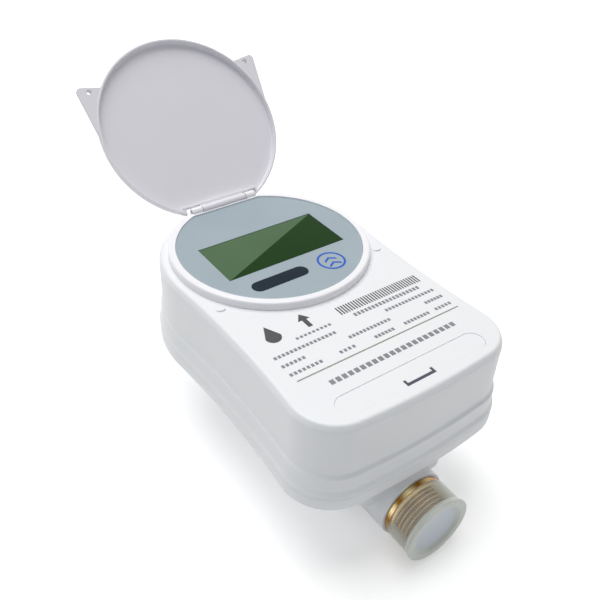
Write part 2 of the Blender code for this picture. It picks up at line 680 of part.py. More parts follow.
def make_sensors():
    """A piezo capsule, its seal, clamp and two clamp screws over each sensor pocket."""
    flat_z = AXIS_Z + FLAT_HEIGHT
    flange_low = flat_z + 2 * SEAL_WIRE + 2 * GAP
    flange_high = flange_low + SENSOR_FLANGE
    flange = SENSOR_RADIUS + 2 * SEAL_WIRE + GAP
    stem = SENSOR_CAP_RADIUS
    foot = AXIS_Z + BORE_RADIUS + GAP
    profile = [(0.0, flange_high + SENSOR_CAP_HEIGHT), (stem, flange_high + SENSOR_CAP_HEIGHT),
               (stem, flange_high), (flange, flange_high), (flange, flange_low),
               (SENSOR_RADIUS, flange_low), (SENSOR_RADIUS, foot), (0.0, foot)]
    seal_radius = SENSOR_RADIUS + GAP + SEAL_WIRE
    rib = [2 * math.pi * i / 6 for i in range(6)]
    seal = [(seal_radius - SEAL_WIRE * math.cos(a), SEAL_WIRE * math.sin(a)) for a in rib]
    number = 0
    for place_name, side in (("front", -1), ("rear", 1)):
        y = side * SENSOR_Y
        place(turned(f"transducer_{place_name}", profile, (0, y, 0), segments=SMALL_ROUND), STEEL)
        spot = (0, y, flat_z + GAP + SEAL_WIRE)
        place(turned(f"transducer_seal_{place_name}", seal, spot, segments=SMALL_ROUND), BLACK_RUBBER)
        make_clamp(place_name, y, flat_z + GAP, flange_high + GAP, stem, flange)
        for step in (-1, 1):
            number += 1
            head = flat_z + GAP + CLAMP_SHEET + GAP
            radius, wide, edge = CLAMP_SCREW_RADIUS, CLAMP_HEAD_RADIUS, CLAMP_HEAD_EDGE
            screw = [(0.0, CLAMP_HEAD), (wide - edge, CLAMP_HEAD), (wide, CLAMP_HEAD - edge), (wide, 0.0),
                     (radius, 0.0), (radius, -CLAMP_SCREW_LENGTH), (0.0, -CLAMP_SCREW_LENGTH)]
            spot = (0, y + step * CLAMP_SCREW_OFFSET, head)
            place(turned(f"clamp_screw_{number}", screw, spot, segments=TINY_ROUND), STEEL)


def make_clamp(place_name, y, foot_z, bridge_z, stem, flange):
    """A bent steel strap that bridges the capsule's flange and stands on the tube's flat."""
    rise = flange + 2 * GAP
    end = CLAMP_SCREW_OFFSET + CLAMP_MARGIN
    sheet = CLAMP_SHEET
    half_section = [(end, foot_z), (end, foot_z + sheet), (rise + sheet, foot_z + sheet),
                    (rise + sheet, bridge_z + sheet)]
    under = [(rise, bridge_z), (rise, foot_z)]
    right = [(along, height) for along, height in half_section]
    left = [(-along, height) for along, height in reversed(half_section)]
    beneath = [(-rise, foot_z), (-rise, bridge_z)] + under
    loop = right + left + beneath
    sides = [[(x, y + along, height) for along, height in loop]
             for x in (-CLAMP_HALF_WIDTH, CLAMP_HALF_WIDTH)]
    strap = loft(f"transducer_clamp_{place_name}", sides)
    combine(strap, drum(f"strap_hole_{place_name}", stem + GAP, (0, y, foot_z),
                        (0, y, bridge_z + WALL)))
    for step in (-1, 1):
        spot = y + step * CLAMP_SCREW_OFFSET
        combine(strap, drum(f"strap_screw_{place_name}_{step}", CLAMP_SCREW_RADIUS + GAP,
                            (0, spot, foot_z - WALL), (0, spot, foot_z + WALL), TINY_ROUND))
    return place(strap, STEEL)


def make_flow_path():
    """What stands in the bore: the reducing insert, two mirrors and the inlet strainer."""
    fit = BORE_RADIUS - GAP
    length = INSERT_HALF_LENGTH
    lip = fit - INSERT_LIP
    insert = [(fit, length), (fit, -length), (lip, -length), (INSERT_BORE, INSERT_TAPER - length),
              (INSERT_BORE, length - INSERT_TAPER), (lip, length)]
    place(turned("measuring_insert", insert, (0, 0, AXIS_Z), -90.0, PIN_ROUND), BLACK_NYLON)
    for place_name, side in (("front", -1), ("rear", 1)):
        y = side * SENSOR_Y
        reach, inside, bite = BAND_HALF_LENGTH, fit - BAND_SHEET, fit - MIRROR_BITE
        band = [(fit, reach), (fit, -reach), (inside, -reach), (inside, reach)]
        mirror = turned(f"reflector_{place_name}", band, (0, y, AXIS_Z), -90.0, PIN_ROUND)
        sheet = block(f"mirror_{place_name}", (-MIRROR_HALF_WIDTH, -bite, -MIRROR_SHEET / 2),
                      (MIRROR_HALF_WIDTH, bite, MIRROR_SHEET / 2))
        sheet.location = (0, y, AXIS_Z)
        sheet.rotation_euler = (side * math.radians(45.0), 0.0, 0.0)
        combine(mirror, sheet, "UNION")
        arms = block(f"arms_{place_name}", (-bite, y - MIRROR_SHEET, AXIS_Z - MIRROR_SHEET / 2),
                     (bite, y + MIRROR_SHEET, AXIS_Z + MIRROR_SHEET / 2))
        combine(mirror, arms, "UNION")
        place(mirror, STEEL)
    y = TUBE_END - STRAINER_SETBACK
    sheet, depth = STRAINER_SHEET, STRAINER_LENGTH
    cup = [(0.0, 0.0), (fit, 0.0), (fit, -depth), (fit - sheet, -depth), (fit - sheet, -sheet),
           (0.0, -sheet)]
    strainer = turned("inlet_strainer", cup, (0, y, AXIS_Z), -90.0, PIN_ROUND)
    spots = [(0.0, 0.0)] + circle((0.0, 0.0), STRAINER_PITCH, 6)
    for number, (x, z) in enumerate(spots):
        combine(strainer, drum(f"mesh_{number}", STRAINER_HOLE, (x, y - WALL, AXIS_Z + z),
                               (x, y + WALL, AXIS_Z + z), TINY_ROUND))
    place(strainer, BLACK_NYLON)


def chord_circle(radius, chord, steps=40, spare=2):
    """A circle about the display's centre, cut off by a straight line at +Y.

    The straight side is divided too, so that outlines of different size keep like points.
    """
    start = math.asin(chord / radius)
    around = arc((0.0, PANEL_Y), radius, math.pi - start, 2 * math.pi + start, steps)
    half = radius * math.cos(start)
    flat = [(half - 2 * half * i / spare, PANEL_Y + chord) for i in range(1, spare)]
    return around + flat


def make_display_bezel():
    """White ring that holds the window, with two hinge lugs and a trough for the lid's barrel."""
    seat = SEAT_Z
    shoulder = DECK_Z + GAP
    foot = CARRIER_Z - CARRIER_THICKNESS
    inner = SPIGOT_RADIUS - SPIGOT_WALL
    window = PANEL_RADIUS + GAP
    profile = [(BEZEL_RADIUS - BEZEL_EDGE, BEZEL_Z), (BEZEL_RADIUS, BEZEL_Z - BEZEL_EDGE),
               (BEZEL_RADIUS, shoulder), (SPIGOT_RADIUS, shoulder), (SPIGOT_RADIUS, foot),
               (inner, foot), (inner, BEZEL_Z)]
    ring = turned("display_bezel", profile, (0, PANEL_Y, 0), segments=BEZEL_ROUND)
    outline = chord_circle(window, PANEL_CHORD + GAP)
    combine(ring, plate("window_recess", [outline], seat, BEZEL_Z + WALL))
    land = block("hinge_land", (-LAND_HALF_WIDTH, PANEL_Y + PANEL_CHORD + GAP, seat - LAND_DROP),
                 (LAND_HALF_WIDTH, PANEL_Y + SPIGOT_RADIUS - BEZEL_EDGE, BEZEL_Z))
    combine(ring, land, "UNION")
    for side in (-1, 1):
        low_x, high_x = sorted((side * BARREL_HALF, side * (BARREL_HALF + GAP + LUG_WIDTH)))
        radius = BARREL_RADIUS + LUG_MARGIN
        combine(ring, drum(f"lug_eye_{side}", radius, (low_x, HINGE_Y, HINGE_Z),
                           (high_x, HINGE_Y, HINGE_Z)), "UNION")
        combine(ring, block(f"lug_{side}", (low_x, HINGE_Y - radius, shoulder),
                            (high_x, HINGE_Y + radius, HINGE_Z)), "UNION")
    room = BARREL_RADIUS + GAP
    trough = block("barrel_trough", (-BARREL_HALF - GAP, HINGE_Y - room, HINGE_Z - room),
                   (BARREL_HALF + GAP, PANEL_Y + BEZEL_RADIUS + WALL, HINGE_Z + WALL))
    combine(ring, trough)
    end = BEZEL_RADIUS / 2
    combine(ring, drum("pin_hole", PIN_RADIUS + 0.75 * RUN_GAP, (-end, HINGE_Y, HINGE_Z),
                       (end, HINGE_Y, HINGE_Z), PIN_ROUND))
    return place(ring, WHITE_ABS)


def make_hinge_pin():
    """Steel pin through the lugs and the lid's barrel."""
    end = BARREL_HALF + GAP + LUG_WIDTH - PIN_SETBACK
    pin = drum("hinge_pin", PIN_RADIUS, (-end, HINGE_Y, HINGE_Z), (end, HINGE_Y, HINGE_Z), PIN_ROUND)
    return place(pin, STEEL)


def make_window_panel():
    """Printed window disc with openings for the display and the infrared port."""
    lcd_y = PANEL_Y + LCD_OFFSET
    half_x, half_y = LCD_WIDTH / 2, LCD_HEIGHT / 2
    lcd = [(-half_x, lcd_y - half_y), (half_x, lcd_y - half_y), (half_x, lcd_y + half_y),
           (-half_x, lcd_y + half_y)]
    port = stadium((PORT_X, PANEL_Y + PORT_Y), PORT_LENGTH, PORT_WIDTH)
    outline = chord_circle(PANEL_RADIUS, PANEL_CHORD)
    panel = plate("window_panel", [outline, lcd, port], SEAT_Z + GAP, PANEL_Z)
    return place(panel, GREY_FILM)


def make_display_stack():
    """What lies under the window: display, infrared window, carrier, key spring and board."""
    lcd_y = PANEL_Y + LCD_OFFSET
    half_x, half_y = LCD_WIDTH / 2 - GAP, LCD_HEIGHT / 2 - GAP
    low = CARRIER_Z + GAP
    place(block("lcd_module", (-half_x, lcd_y - half_y, low), (half_x, lcd_y + half_y, PANEL_Z - SUNK)),
          GREEN_GLASS)
    port = stadium((PORT_X, PANEL_Y + PORT_Y), PORT_LENGTH - 2 * GAP, PORT_WIDTH - 2 * GAP)
    place(plate("infrared_window", [port], low, PANEL_Z - SUNK), DARK_ACRYLIC)
    carrier = drum("display_carrier", CARRIER_RADIUS, (0, PANEL_Y, CARRIER_Z - CARRIER_THICKNESS),
                   (0, PANEL_Y, CARRIER_Z), ROUND)
    for number, (x, y) in enumerate([(i, j) for i in (-1, 1) for j in (-1, 1)]):
        spot = (x * POST_X, PANEL_Y + y * POST_Y)
        combine(carrier, drum(f"post_{number}", POST_RADIUS, (*spot, BOARD_TOP + GAP),
                              (*spot, CARRIER_Z - CARRIER_THICKNESS / 2), TINY_ROUND), "UNION")
    place(carrier, BLACK_NYLON)
    half = (BOARD_WIDTH / 2, BOARD_LENGTH / 2)
    board = block("circuit_board", (-half[0], PANEL_Y - half[1], BOARD_TOP - BOARD_THICKNESS),
                  (half[0], PANEL_Y + half[1], BOARD_TOP))
    place(board, GREEN_BOARD)
    width, depth, height = ANTENNA_SIZE
    start = PANEL_Y - half[1] + ANTENNA_MARGIN
    place(block("antenna", (-width / 2, start, BOARD_TOP + GAP),
                (width / 2, start + depth, BOARD_TOP + GAP + height)), PALE_ABS)
    make_key_spring()


def make_key_spring():
    """Coil spring that carries the touch key's field up to the window."""
    low = CARRIER_Z + GAP + SPRING_WIRE
    high = SEAT_Z - SPRING_WIRE
    steps = SPRING_TURNS * SMALL_ROUND
    curve = bpy.data.curves.new("key_spring", "CURVE")
    curve.dimensions = "3D"
    curve.bevel_depth = SPRING_WIRE
    curve.bevel_resolution = 0
    curve.use_fill_caps = True
    spline = curve.splines.new("POLY")
    spline.points.add(steps)
    for i, point in enumerate(spline.points):
        turn = 2 * math.pi * SPRING_TURNS * i / steps
        reach = SPRING_RADIUS * (1.0 - SPRING_TAPER * i / steps)
        x, y = KEY_X + reach * math.cos(turn), PANEL_Y + KEY_Y + reach * math.sin(turn)
        point.co = (x, y, low + (high - low) * i / steps, 1.0)
    wire = bpy.data.objects.new("key_spring", curve)
    PARTS.objects.link(wire)
    return place(curve_to_mesh(wire), STEEL)


def lid_rings(pairs):
    """Outlines of the lid's shallow dish in its shut position, from pairs of inset and height."""
    chord = HINGE_SETBACK - BARREL_RADIUS - 2 * GAP
    return [level(chord_circle(LID_RADIUS - inset, chord - inset), height) for inset, height in pairs]


def make_lid():
    """Round flip lid with two sealing ears and a hinge barrel, turned open about its pin."""
    top = LID_Z + LID_HEIGHT
    skin = [(-grow, top + fall) for grow, fall in quarter_round(LID_ROUND)]
    lid = loft("lid", lid_rings(skin + [(0.0, LID_Z + GAP), (GAP, LID_Z)]))
    for side in (-1, 1):
        foot, tip = Vector(EAR_FOOT), Vector(EAR_TIP)
        shoulder = Vector((LID_RADIUS - GAP, EAR_SHOULDER))
        nose = arc((tip.x - EAR_NOSE, tip.y + EAR_NOSE), EAR_NOSE, -math.pi / 2, 0.0, 4)
        ear = [(foot.x - EAR_ROOT[0], foot.y), *nose, tuple(shoulder), (shoulder.x - EAR_ROOT[1], shoulder.y)]
        outline = [(side * x, PANEL_Y + y) for x, y in ear]
        combine(lid, plate(f"ear_{side}", [outline], LID_Z + GAP, LID_Z + EAR_SHEET), "UNION")
    ceiling = top - LID_SHEET
    hollow = [(LID_SHEET + GAP, ceiling), (LID_SHEET, ceiling - GAP), (LID_SHEET, LID_Z - WALL)]
    combine(lid, loft("lid_hollow", lid_rings(hollow)))
    for side in (-1, 1):
        spot = (side * EAR_HOLE[0], PANEL_Y + EAR_HOLE[1])
        combine(lid, drum(f"ear_hole_{side}", EAR_HOLE_RADIUS, (*spot, LID_Z - WALL),
                          (*spot, LID_Z + 2 * WALL), TINY_ROUND))
    half = BARREL_HALF
    combine(lid, block("lid_tongue", (-half, HINGE_Y - BARREL_RADIUS - TONGUE_BITE, LID_Z + GAP),
                       (half, HINGE_Y, LID_Z + GAP + TONGUE_SHEET)), "UNION")
    combine(lid, drum("lid_barrel", BARREL_RADIUS, (-half, HINGE_Y, HINGE_Z),
                      (half, HINGE_Y, HINGE_Z)), "UNION")
    combine(lid, drum("lid_pin_hole", PIN_RADIUS + 1.5 * RUN_GAP, (-half - WALL, HINGE_Y, HINGE_Z),
                      (half + WALL, HINGE_Y, HINGE_Z), PIN_ROUND))
    place(lid, WHITE_ABS)
    hang_on_axis(lid, (0.0, HINGE_Y, HINGE_Z), -LID_OPEN_DEGREES)
    return lid


def hang_on_axis(item, axis_point, degrees=0.0):
    """Move an object's origin to its joint axis and turn it there, with its cutters."""
    pivot = bpy.data.objects.new(f"{item.name}_axis", None)
    PARTS.objects.link(pivot)
    pivot.location = axis_point
    pieces = [item] + [step.object for step in item.modifiers if step.type == "BOOLEAN"]
    for piece in pieces:
        piece.parent = pivot
        piece.location = piece.location - Vector(axis_point)
    pivot.rotation_euler = (math.radians(degrees), 0.0, 0.0)


def make_service_cover():
    """Flush snap-in strip with a latch tongue at its front edge and a catch below."""
    middle = (0.0, COVER_Y)
    cover = plate("service_cover", [stadium(middle, COVER_LENGTH, COVER_WIDTH)],
                  COVER_TOP - COVER_SHEET, COVER_TOP)
    front = COVER_Y - COVER_WIDTH / 2
    half = LATCH_WIDTH / 2
    low, high = COVER_TOP - 2 * COVER_SHEET, COVER_TOP + COVER_SHEET
    combine(cover, block("latch_notch", (-half, front - LATCH_SLOT, low), (half, front + LATCH_SLOT, high)))
    for side in (-1, 1):
        inner = side * (half - LATCH_SLOT)
        left, right = sorted((inner, side * half))
        combine(cover, block(f"latch_leg_{side}", (left, front, low), (right, front + LATCH_LENGTH, high)))
    catch_front = COVER_Y - COVER_WIDTH / 2 + COVER_SHELF + 3 * GAP
    catch = block("latch_catch", (-half / 2, catch_front, COVER_TOP - COVER_SHEET - CATCH_DROP),
                  (half / 2, catch_front + CATCH_SHEET, COVER_TOP - COVER_SHEET / 2))
    combine(cover, catch, "UNION")
    place(cover, WHITE_ABS)
    hang_on_axis(cover, (0.0, COVER_Y + COVER_WIDTH / 2, COVER_TOP))
    return cover


def make_service_socket():
    """Small configuration socket on the floor of the service pocket."""
    length, width, height = SOCKET_SIZE
    x = -COVER_LENGTH / 4
    low = POCKET_Z + GAP
    socket = block("service_socket", (x - length / 2, COVER_Y - width / 2, low),
                   (x + length / 2, COVER_Y + width / 2, low + height))
    reach_x, reach_y = length / 2 - SOCKET_WALL, width / 2 - SOCKET_WALL
    combine(socket, block("socket_hollow", (x - reach_x, COVER_Y - reach_y, low + height / 2),
                          (x + reach_x, COVER_Y + reach_y, low + 2 * height)))
    return place(socket, BLACK_NYLON)


def make_battery():
    """Lithium cell lying across the front of the housing, in a cradle on the tray floor."""
    half = BATTERY_LENGTH / 2
    radius = BATTERY_RADIUS
    terminal, rise = BATTERY_TERMINAL
    edge = BATTERY_EDGE
    profile = [(0.0, half + rise), (terminal, half + rise), (terminal, half), (radius - edge, half),
               (radius, half - edge), (radius, edge - half), (radius - edge, -half), (0.0, -half)]
    cell = turned("battery_cell", profile, (0, BATTERY_Y, BATTERY_Z), segments=TUBE_ROUND)
    cell.rotation_euler = (0.0, math.radians(90.0), 0.0)
    place(cell, CELL_SLEEVE)
    length, width, sheet = CRADLE_SIZE
    low = FLOOR_Z + GAP
    cradle = block("battery_cradle", (-length / 2, BATTERY_Y - width / 2, low),
                   (length / 2, BATTERY_Y + width / 2, low + sheet))
    for side in (-1, 1):
        x = side * CRADLE_RIB_X
        rib = block(f"cradle_rib_{side}", (x - CRADLE_RIB / 2, BATTERY_Y - width / 2, low + sheet / 2),
                    (x + CRADLE_RIB / 2, BATTERY_Y + width / 2, BATTERY_Z - radius / 3))
        combine(cradle, rib, "UNION")
    end = CRADLE_RIB_X + CRADLE_RIB
    combine(cradle, drum("cradle_saddle", radius + GAP, (-end, BATTERY_Y, BATTERY_Z),
                         (end, BATTERY_Y, BATTERY_Z), TUBE_ROUND))
    place(cradle, BLACK_NYLON)


def build():
    """Make every sub-part."""
    make_upper_housing()
    make_lower_housing()
    make_housing_gasket()
    make_housing_screws()
    make_flow_tube()
    make_end_fittings()
    make_sensors()
    make_flow_path()
    make_display_bezel()
    make_hinge_pin()
    make_window_panel()
    make_display_stack()
    make_lid()
    make_service_cover()
    make_service_socket()
    make_battery()
    bpy.context.view_layer.update()


build()
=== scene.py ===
"""Looks of an ultrasonic water meter with a flip lid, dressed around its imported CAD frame.

Metres, in the CAD's frame: +Y along the flow tube towards the lid's hinge, +X to the right as
the display is read, +Z up from the flat base.
"""
import logging
import math
from collections.abc import Iterator, Sequence
from contextlib import contextmanager
from dataclasses import dataclass, field, replace
from enum import Enum

import bmesh
import bpy
from mathutils import Matrix, Vector


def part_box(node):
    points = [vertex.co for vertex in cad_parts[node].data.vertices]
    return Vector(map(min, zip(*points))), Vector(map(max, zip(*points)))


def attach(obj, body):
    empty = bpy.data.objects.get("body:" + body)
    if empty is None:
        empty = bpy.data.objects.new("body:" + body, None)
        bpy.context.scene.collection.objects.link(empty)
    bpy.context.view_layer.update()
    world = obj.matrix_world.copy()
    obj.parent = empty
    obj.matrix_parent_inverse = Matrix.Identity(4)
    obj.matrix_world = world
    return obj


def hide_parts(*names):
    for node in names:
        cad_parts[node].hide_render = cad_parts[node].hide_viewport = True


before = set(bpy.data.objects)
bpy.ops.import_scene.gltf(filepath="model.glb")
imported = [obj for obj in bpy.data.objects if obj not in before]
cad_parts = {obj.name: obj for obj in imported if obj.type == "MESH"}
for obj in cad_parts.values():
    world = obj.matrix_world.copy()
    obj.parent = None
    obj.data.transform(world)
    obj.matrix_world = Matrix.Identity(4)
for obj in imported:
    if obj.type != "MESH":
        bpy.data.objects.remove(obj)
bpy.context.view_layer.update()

LOG = logging.getLogger("water_meter")

Point = tuple[float, float]
Place = tuple[float, float, float]
Outline = list[Point]
Item = bpy.types.Object
Tree = bpy.types.NodeTree
Node = bpy.types.Node
Socket = bpy.types.NodeSocket

MM = 0.001
# The usual clearance between pieces that fit together.
GAP = 0.3 * MM
INK_FILM = 0.04 * MM
AXIS_HEIGHT = 17.0 * MM
# The middle of the flow tube, on its axis.
TUBE_CENTRE: Place = (0.0, 0.0, AXIS_HEIGHT)
WHITE_LIGHT = (1.0, 1.0, 1.0, 1.0)
# A wave texture of scale one repeats about every 0.3 m.
WAVE_PERIOD = 0.3
# Steps along the straight hinge side of the window and of the lid.
FLAT_STEPS = 6
# Steps round the circles of the display and the tube, of the collars, and of small holes.
WIDE_ROUND = 96
COLLAR_ROUND = 72
SMALL_ROUND = 40
SCREW_ROUND = 32
# The most of a side that one of its round corners takes.
CORNER_SHARE = 0.45
SAME_POINT = 0.001 * MM
SLIVER = 0.0005 * MM


class Body(str, Enum):
    """The CAD bodies that pieces ride on."""

    METER = "meter"
    LID = "flip_lid"
    COVER = "service_strip"
    FRONT_CAP = "front_cap"
    REAR_CAP = "rear_cap"


class Axis(Enum):
    """The frame's axes."""

    X = (1.0, 0.0, 0.0)
    Y = (0.0, 1.0, 0.0)
    Z = (0.0, 0.0, 1.0)


class Work(Enum):
    """What one solid does to another."""

    CUT = "DIFFERENCE"
    WELD = "UNION"


class End(Enum):
    """The two ends of the flow tube, by the sign of Y."""

    FRONT = -1
    REAR = 1


def linear(code: str) -> tuple[float, float, float, float]:
    """Turn an sRGB hex colour into linear red, green, blue and alpha.

    Args:
        code: Six hex digits.

    Returns:
        The linear colour with an alpha of one.
    """
    values = [int(code[i:i + 2], 16) / 255 for i in (0, 2, 4)]
    red, green, blue = [v / 12.92 if v <= 0.04045 else ((v + 0.055) / 1.055) ** 2.4 for v in values]
    return red, green, blue, 1.0


def add_node(tree: Tree, kind: str, sockets: dict | None = None,
             links: dict | None = None, **settings: object) -> Node:
    """Add a node with its settings, socket values and links.

    Args:
        tree: The node tree that it joins.
        kind: The node's type name.
        sockets: Values by input name or number.
        links: Output sockets by input name or number.
        settings: The node's own properties.

    Returns:
        The node.
    """
    node = tree.nodes.new(kind)
    for name, value in settings.items():
        setattr(node, name, value)
    for name, value in (sockets or {}).items():
        node.inputs[name].default_value = value
    for name, output in (links or {}).items():
        tree.links.new(output, node.inputs[name])
    return node


def tube_radius(tree: Tree, place: Socket) -> Socket:
    """Work out how far a point lies from the flow tube's axis.

    Args:
        tree: The material's nodes.
        place: The point on the piece.

    Returns:
        The distance's socket.
    """
    centred = add_node(tree, "ShaderNodeVectorMath", {1: TUBE_CENTRE}, {0: place},
                       operation="SUBTRACT")
    across = add_node(tree, "ShaderNodeVectorMath", {1: (1.0, 0.0, 1.0)},
                      {0: centred.outputs["Vector"]}, operation="MULTIPLY")
    reach = add_node(tree, "ShaderNodeVectorMath", None, {0: across.outputs["Vector"]},
                     operation="LENGTH")
    return reach.outputs["Value"]


@dataclass(frozen=True)
class Finish:
    """A material made by nodes on a Principled shader.

    Attributes:
        name: What the real material is and how its surface was made.
        colour: The base colour as sRGB hex.
        second: The colour that the pattern drifts to.
        roughness: The surface's mean roughness.
        grain: The size of the surface's grain, in millimetres.
        depth: The height of the relief, in millimetres.
        patch: The size of the slow colour drift, in millimetres.
        metallic: One for bare metal.
        ior: The refractive index.
        specular: The strength of the surface's reflection, half for a bare one.
        gloss_spread: How far the roughness varies, as a share of its mean.
        bump: How strongly the relief shows.
    """

    name: str
    colour: str
    second: str
    roughness: float
    grain: float = 0.5
    depth: float = 0.004
    patch: float = 30.0
    metallic: float = 0.0
    ior: float = 1.5
    specular: float = 0.5
    gloss_spread: float = 0.15
    bump: float = 0.6

    def material(self) -> bpy.types.Material:
        """Give the material, made on first use.

        Returns:
            The material.
        """
        made = bpy.data.materials.get(self.name)
        if made is None:
            made = bpy.data.materials.new(self.name)
            made.use_nodes = True
            shader = made.node_tree.nodes["Principled BSDF"]
            shader.inputs["Metallic"].default_value = self.metallic
            shader.inputs["IOR"].default_value = self.ior
            shader.inputs["Specular IOR Level"].default_value = self.specular
            self.dress(made.node_tree, shader)
        return made

    def dress(self, tree: Tree, shader: Node) -> None:
        """Lay the colours, an uneven gloss and a fine relief on the shader.

        Args:
            tree: The material's nodes.
            shader: Its Principled shader.
        """
        place = add_node(tree, "ShaderNodeTexCoord").outputs["Object"]
        relief = self.relief(tree, place)
        gloss = add_node(tree, "ShaderNodeMapRange",
                         {"To Min": self.roughness * (1 - self.gloss_spread),
                          "To Max": self.roughness * (1 + self.gloss_spread)}, {"Value": relief})
        bump = add_node(tree, "ShaderNodeBump", {"Strength": self.bump, "Distance": self.depth * MM},
                        {"Height": relief})
        tree.links.new(self.tint(tree, place), shader.inputs["Base Color"])
        tree.links.new(gloss.outputs["Result"], shader.inputs["Roughness"])
        tree.links.new(bump.outputs["Normal"], shader.inputs["Normal"])

    def tint(self, tree: Tree, place: Socket) -> Socket:
        """Mix the two colours by the second one's share.

        Args:
            tree: The material's nodes.
            place: The point on the piece.

        Returns:
            The colour's socket.
        """
        mixed = add_node(tree, "ShaderNodeMix", {6: linear(self.colour), 7: linear(self.second)},
                         {0: self.share(tree, place)}, data_type="RGBA")
        return mixed.outputs[2]

    def share(self, tree: Tree, place: Socket) -> Socket:
        """Give the second colour its share, in soft patches."""
        cloud = add_node(tree, "ShaderNodeTexNoise", {"Scale": 1 / (self.patch * MM), "Detail": 3.0},
                         {"Vector": place})
        return cloud.outputs["Fac"]

    def relief(self, tree: Tree, place: Socket) -> Socket:
        """Make the fine grain of the mould."""
        grain = add_node(tree, "ShaderNodeTexNoise", {"Scale": 1 / (self.grain * MM), "Detail": 2.0},
                         {"Vector": place})
        return grain.outputs["Fac"]


@dataclass(frozen=True)
class TurnedMetal(Finish):
    """Metal from a lathe: fine rings round the turning axis, over streaks that run along it.

    Attributes:
        feed: The spacing of the rings in millimetres, coarser than the tool's so that they show.
        axis: The turning axis.
        streak: How many times as long as wide a streak is.
        contrast: The span of the noise that the two colours share, small for sharp streaks.
        wobble: How unevenly the rings run.
    """

    metallic: float = 1.0
    gloss_spread: float = 0.3
    bump: float = 0.5
    feed: float = 0.5
    axis: Axis = Axis.Y
    streak: float = 20.0
    contrast: float = 0.3
    wobble: float = 0.6

    def share(self, tree: Tree, place: Socket) -> Socket:
        """Give the second colour its share, in streaks as a polishing wheel leaves them.

        Args:
            tree: The material's nodes.
            place: The point on the piece.

        Returns:
            The share's socket.
        """
        stretch = tuple(1 / self.streak if axis is self.axis else 1.0 for axis in Axis)
        along = add_node(tree, "ShaderNodeVectorMath", {1: stretch}, {0: place},
                         operation="MULTIPLY")
        cloud = add_node(tree, "ShaderNodeTexNoise", {"Scale": 1 / (self.patch * MM), "Detail": 2.0},
                         {"Vector": along.outputs["Vector"]})
        band = add_node(tree, "ShaderNodeMapRange",
                        {"From Min": 0.5 - self.contrast / 2, "From Max": 0.5 + self.contrast / 2},
                        {"Value": cloud.outputs["Fac"]}, interpolation_type="SMOOTHSTEP")
        return band.outputs["Result"]

    def relief(self, tree: Tree, place: Socket) -> Socket:
        """Make the tool's rings along the axis."""
        rings = add_node(tree, "ShaderNodeTexWave",
                         {"Scale": WAVE_PERIOD / (self.feed * MM), "Distortion": self.wobble,
                          "Detail": 2.0, "Detail Scale": 2.0}, {"Vector": place},
                         bands_direction=self.axis.name)
        return rings.outputs["Fac"]


@dataclass(frozen=True)
class BandedBrass(TurnedMetal):
    """Polished brass with a painted reflection: dark and bright bands that follow each other about the
    axis.

    Attributes:
        bands: How many bright bands go round.
        first: The place of one bright band, in degrees from +X towards +Z.
        sides: On how many sides of the ring the painted reflection grows bright.
        brightest: The place of the painted highlight on one such side, in the same degrees.
    """

    bands: int = 9
    first: float = 112.0
    sides: int = 2
    brightest: float = 120.0

    def wave(self, tree: Tree, turn: Socket, count: int, peak: float) -> Socket:
        """Make a soft wave round the axis, between zero and one.

        Args:
            tree: The material's nodes.
            turn: The angle about the axis.
            count: Waves in a full turn.
            peak: The place of one crest, in degrees.

        Returns:
            The wave's socket.
        """
        phase = add_node(tree, "ShaderNodeMath", {1: float(count), 2: -count * math.radians(peak)},
                         {0: turn}, operation="MULTIPLY_ADD")
        swing = add_node(tree, "ShaderNodeMath", None, {0: phase.outputs["Value"]}, operation="COSINE")
        lifted = add_node(tree, "ShaderNodeMapRange", {"From Min": -1.0},
                          {"Value": swing.outputs["Value"]})
        return lifted.outputs["Result"]

    def share(self, tree: Tree, place: Socket) -> Socket:
        """Give the bright colour its share, as a painted reflection in bands about the tube's axis.

        Args:
            tree: The material's nodes.
            place: The point on the ring.

        Returns:
            The share's socket.
        """
        parts = add_node(tree, "ShaderNodeSeparateXYZ", None, {0: place}).outputs
        height = add_node(tree, "ShaderNodeMath", {1: AXIS_HEIGHT}, {0: parts["Z"]},
                          operation="SUBTRACT")
        turn = add_node(tree, "ShaderNodeMath", None, {0: height.outputs["Value"], 1: parts["X"]},
                        operation="ARCTAN2").outputs["Value"]
        both = add_node(tree, "ShaderNodeMath", None,
                        {0: self.wave(tree, turn, self.bands, self.first),
                         1: self.wave(tree, turn, self.sides, self.brightest)}, operation="MULTIPLY")
        return both.outputs["Value"]


@dataclass(frozen=True)
class ThreadedBrass(TurnedMetal):
    """Turned brass with painted light on its thread: a painted highlight on the crests and painted
    shade in the valleys.

    Attributes:
        valley: The radius at which the painted shade is full, in millimetres.
        crest: The radius at which the painted highlight is full.
    """

    valley: float = 12.7
    crest: float = 13.15

    def share(self, tree: Tree, place: Socket) -> Socket:
        """Give the painted crest highlight its share by the distance from the tube's axis."""
        crest_light = add_node(tree, "ShaderNodeMapRange",
                        {"From Min": self.valley * MM, "From Max": self.crest * MM},
                        {"Value": tube_radius(tree, place)}, interpolation_type="SMOOTHSTEP")
        return crest_light.outputs["Result"]


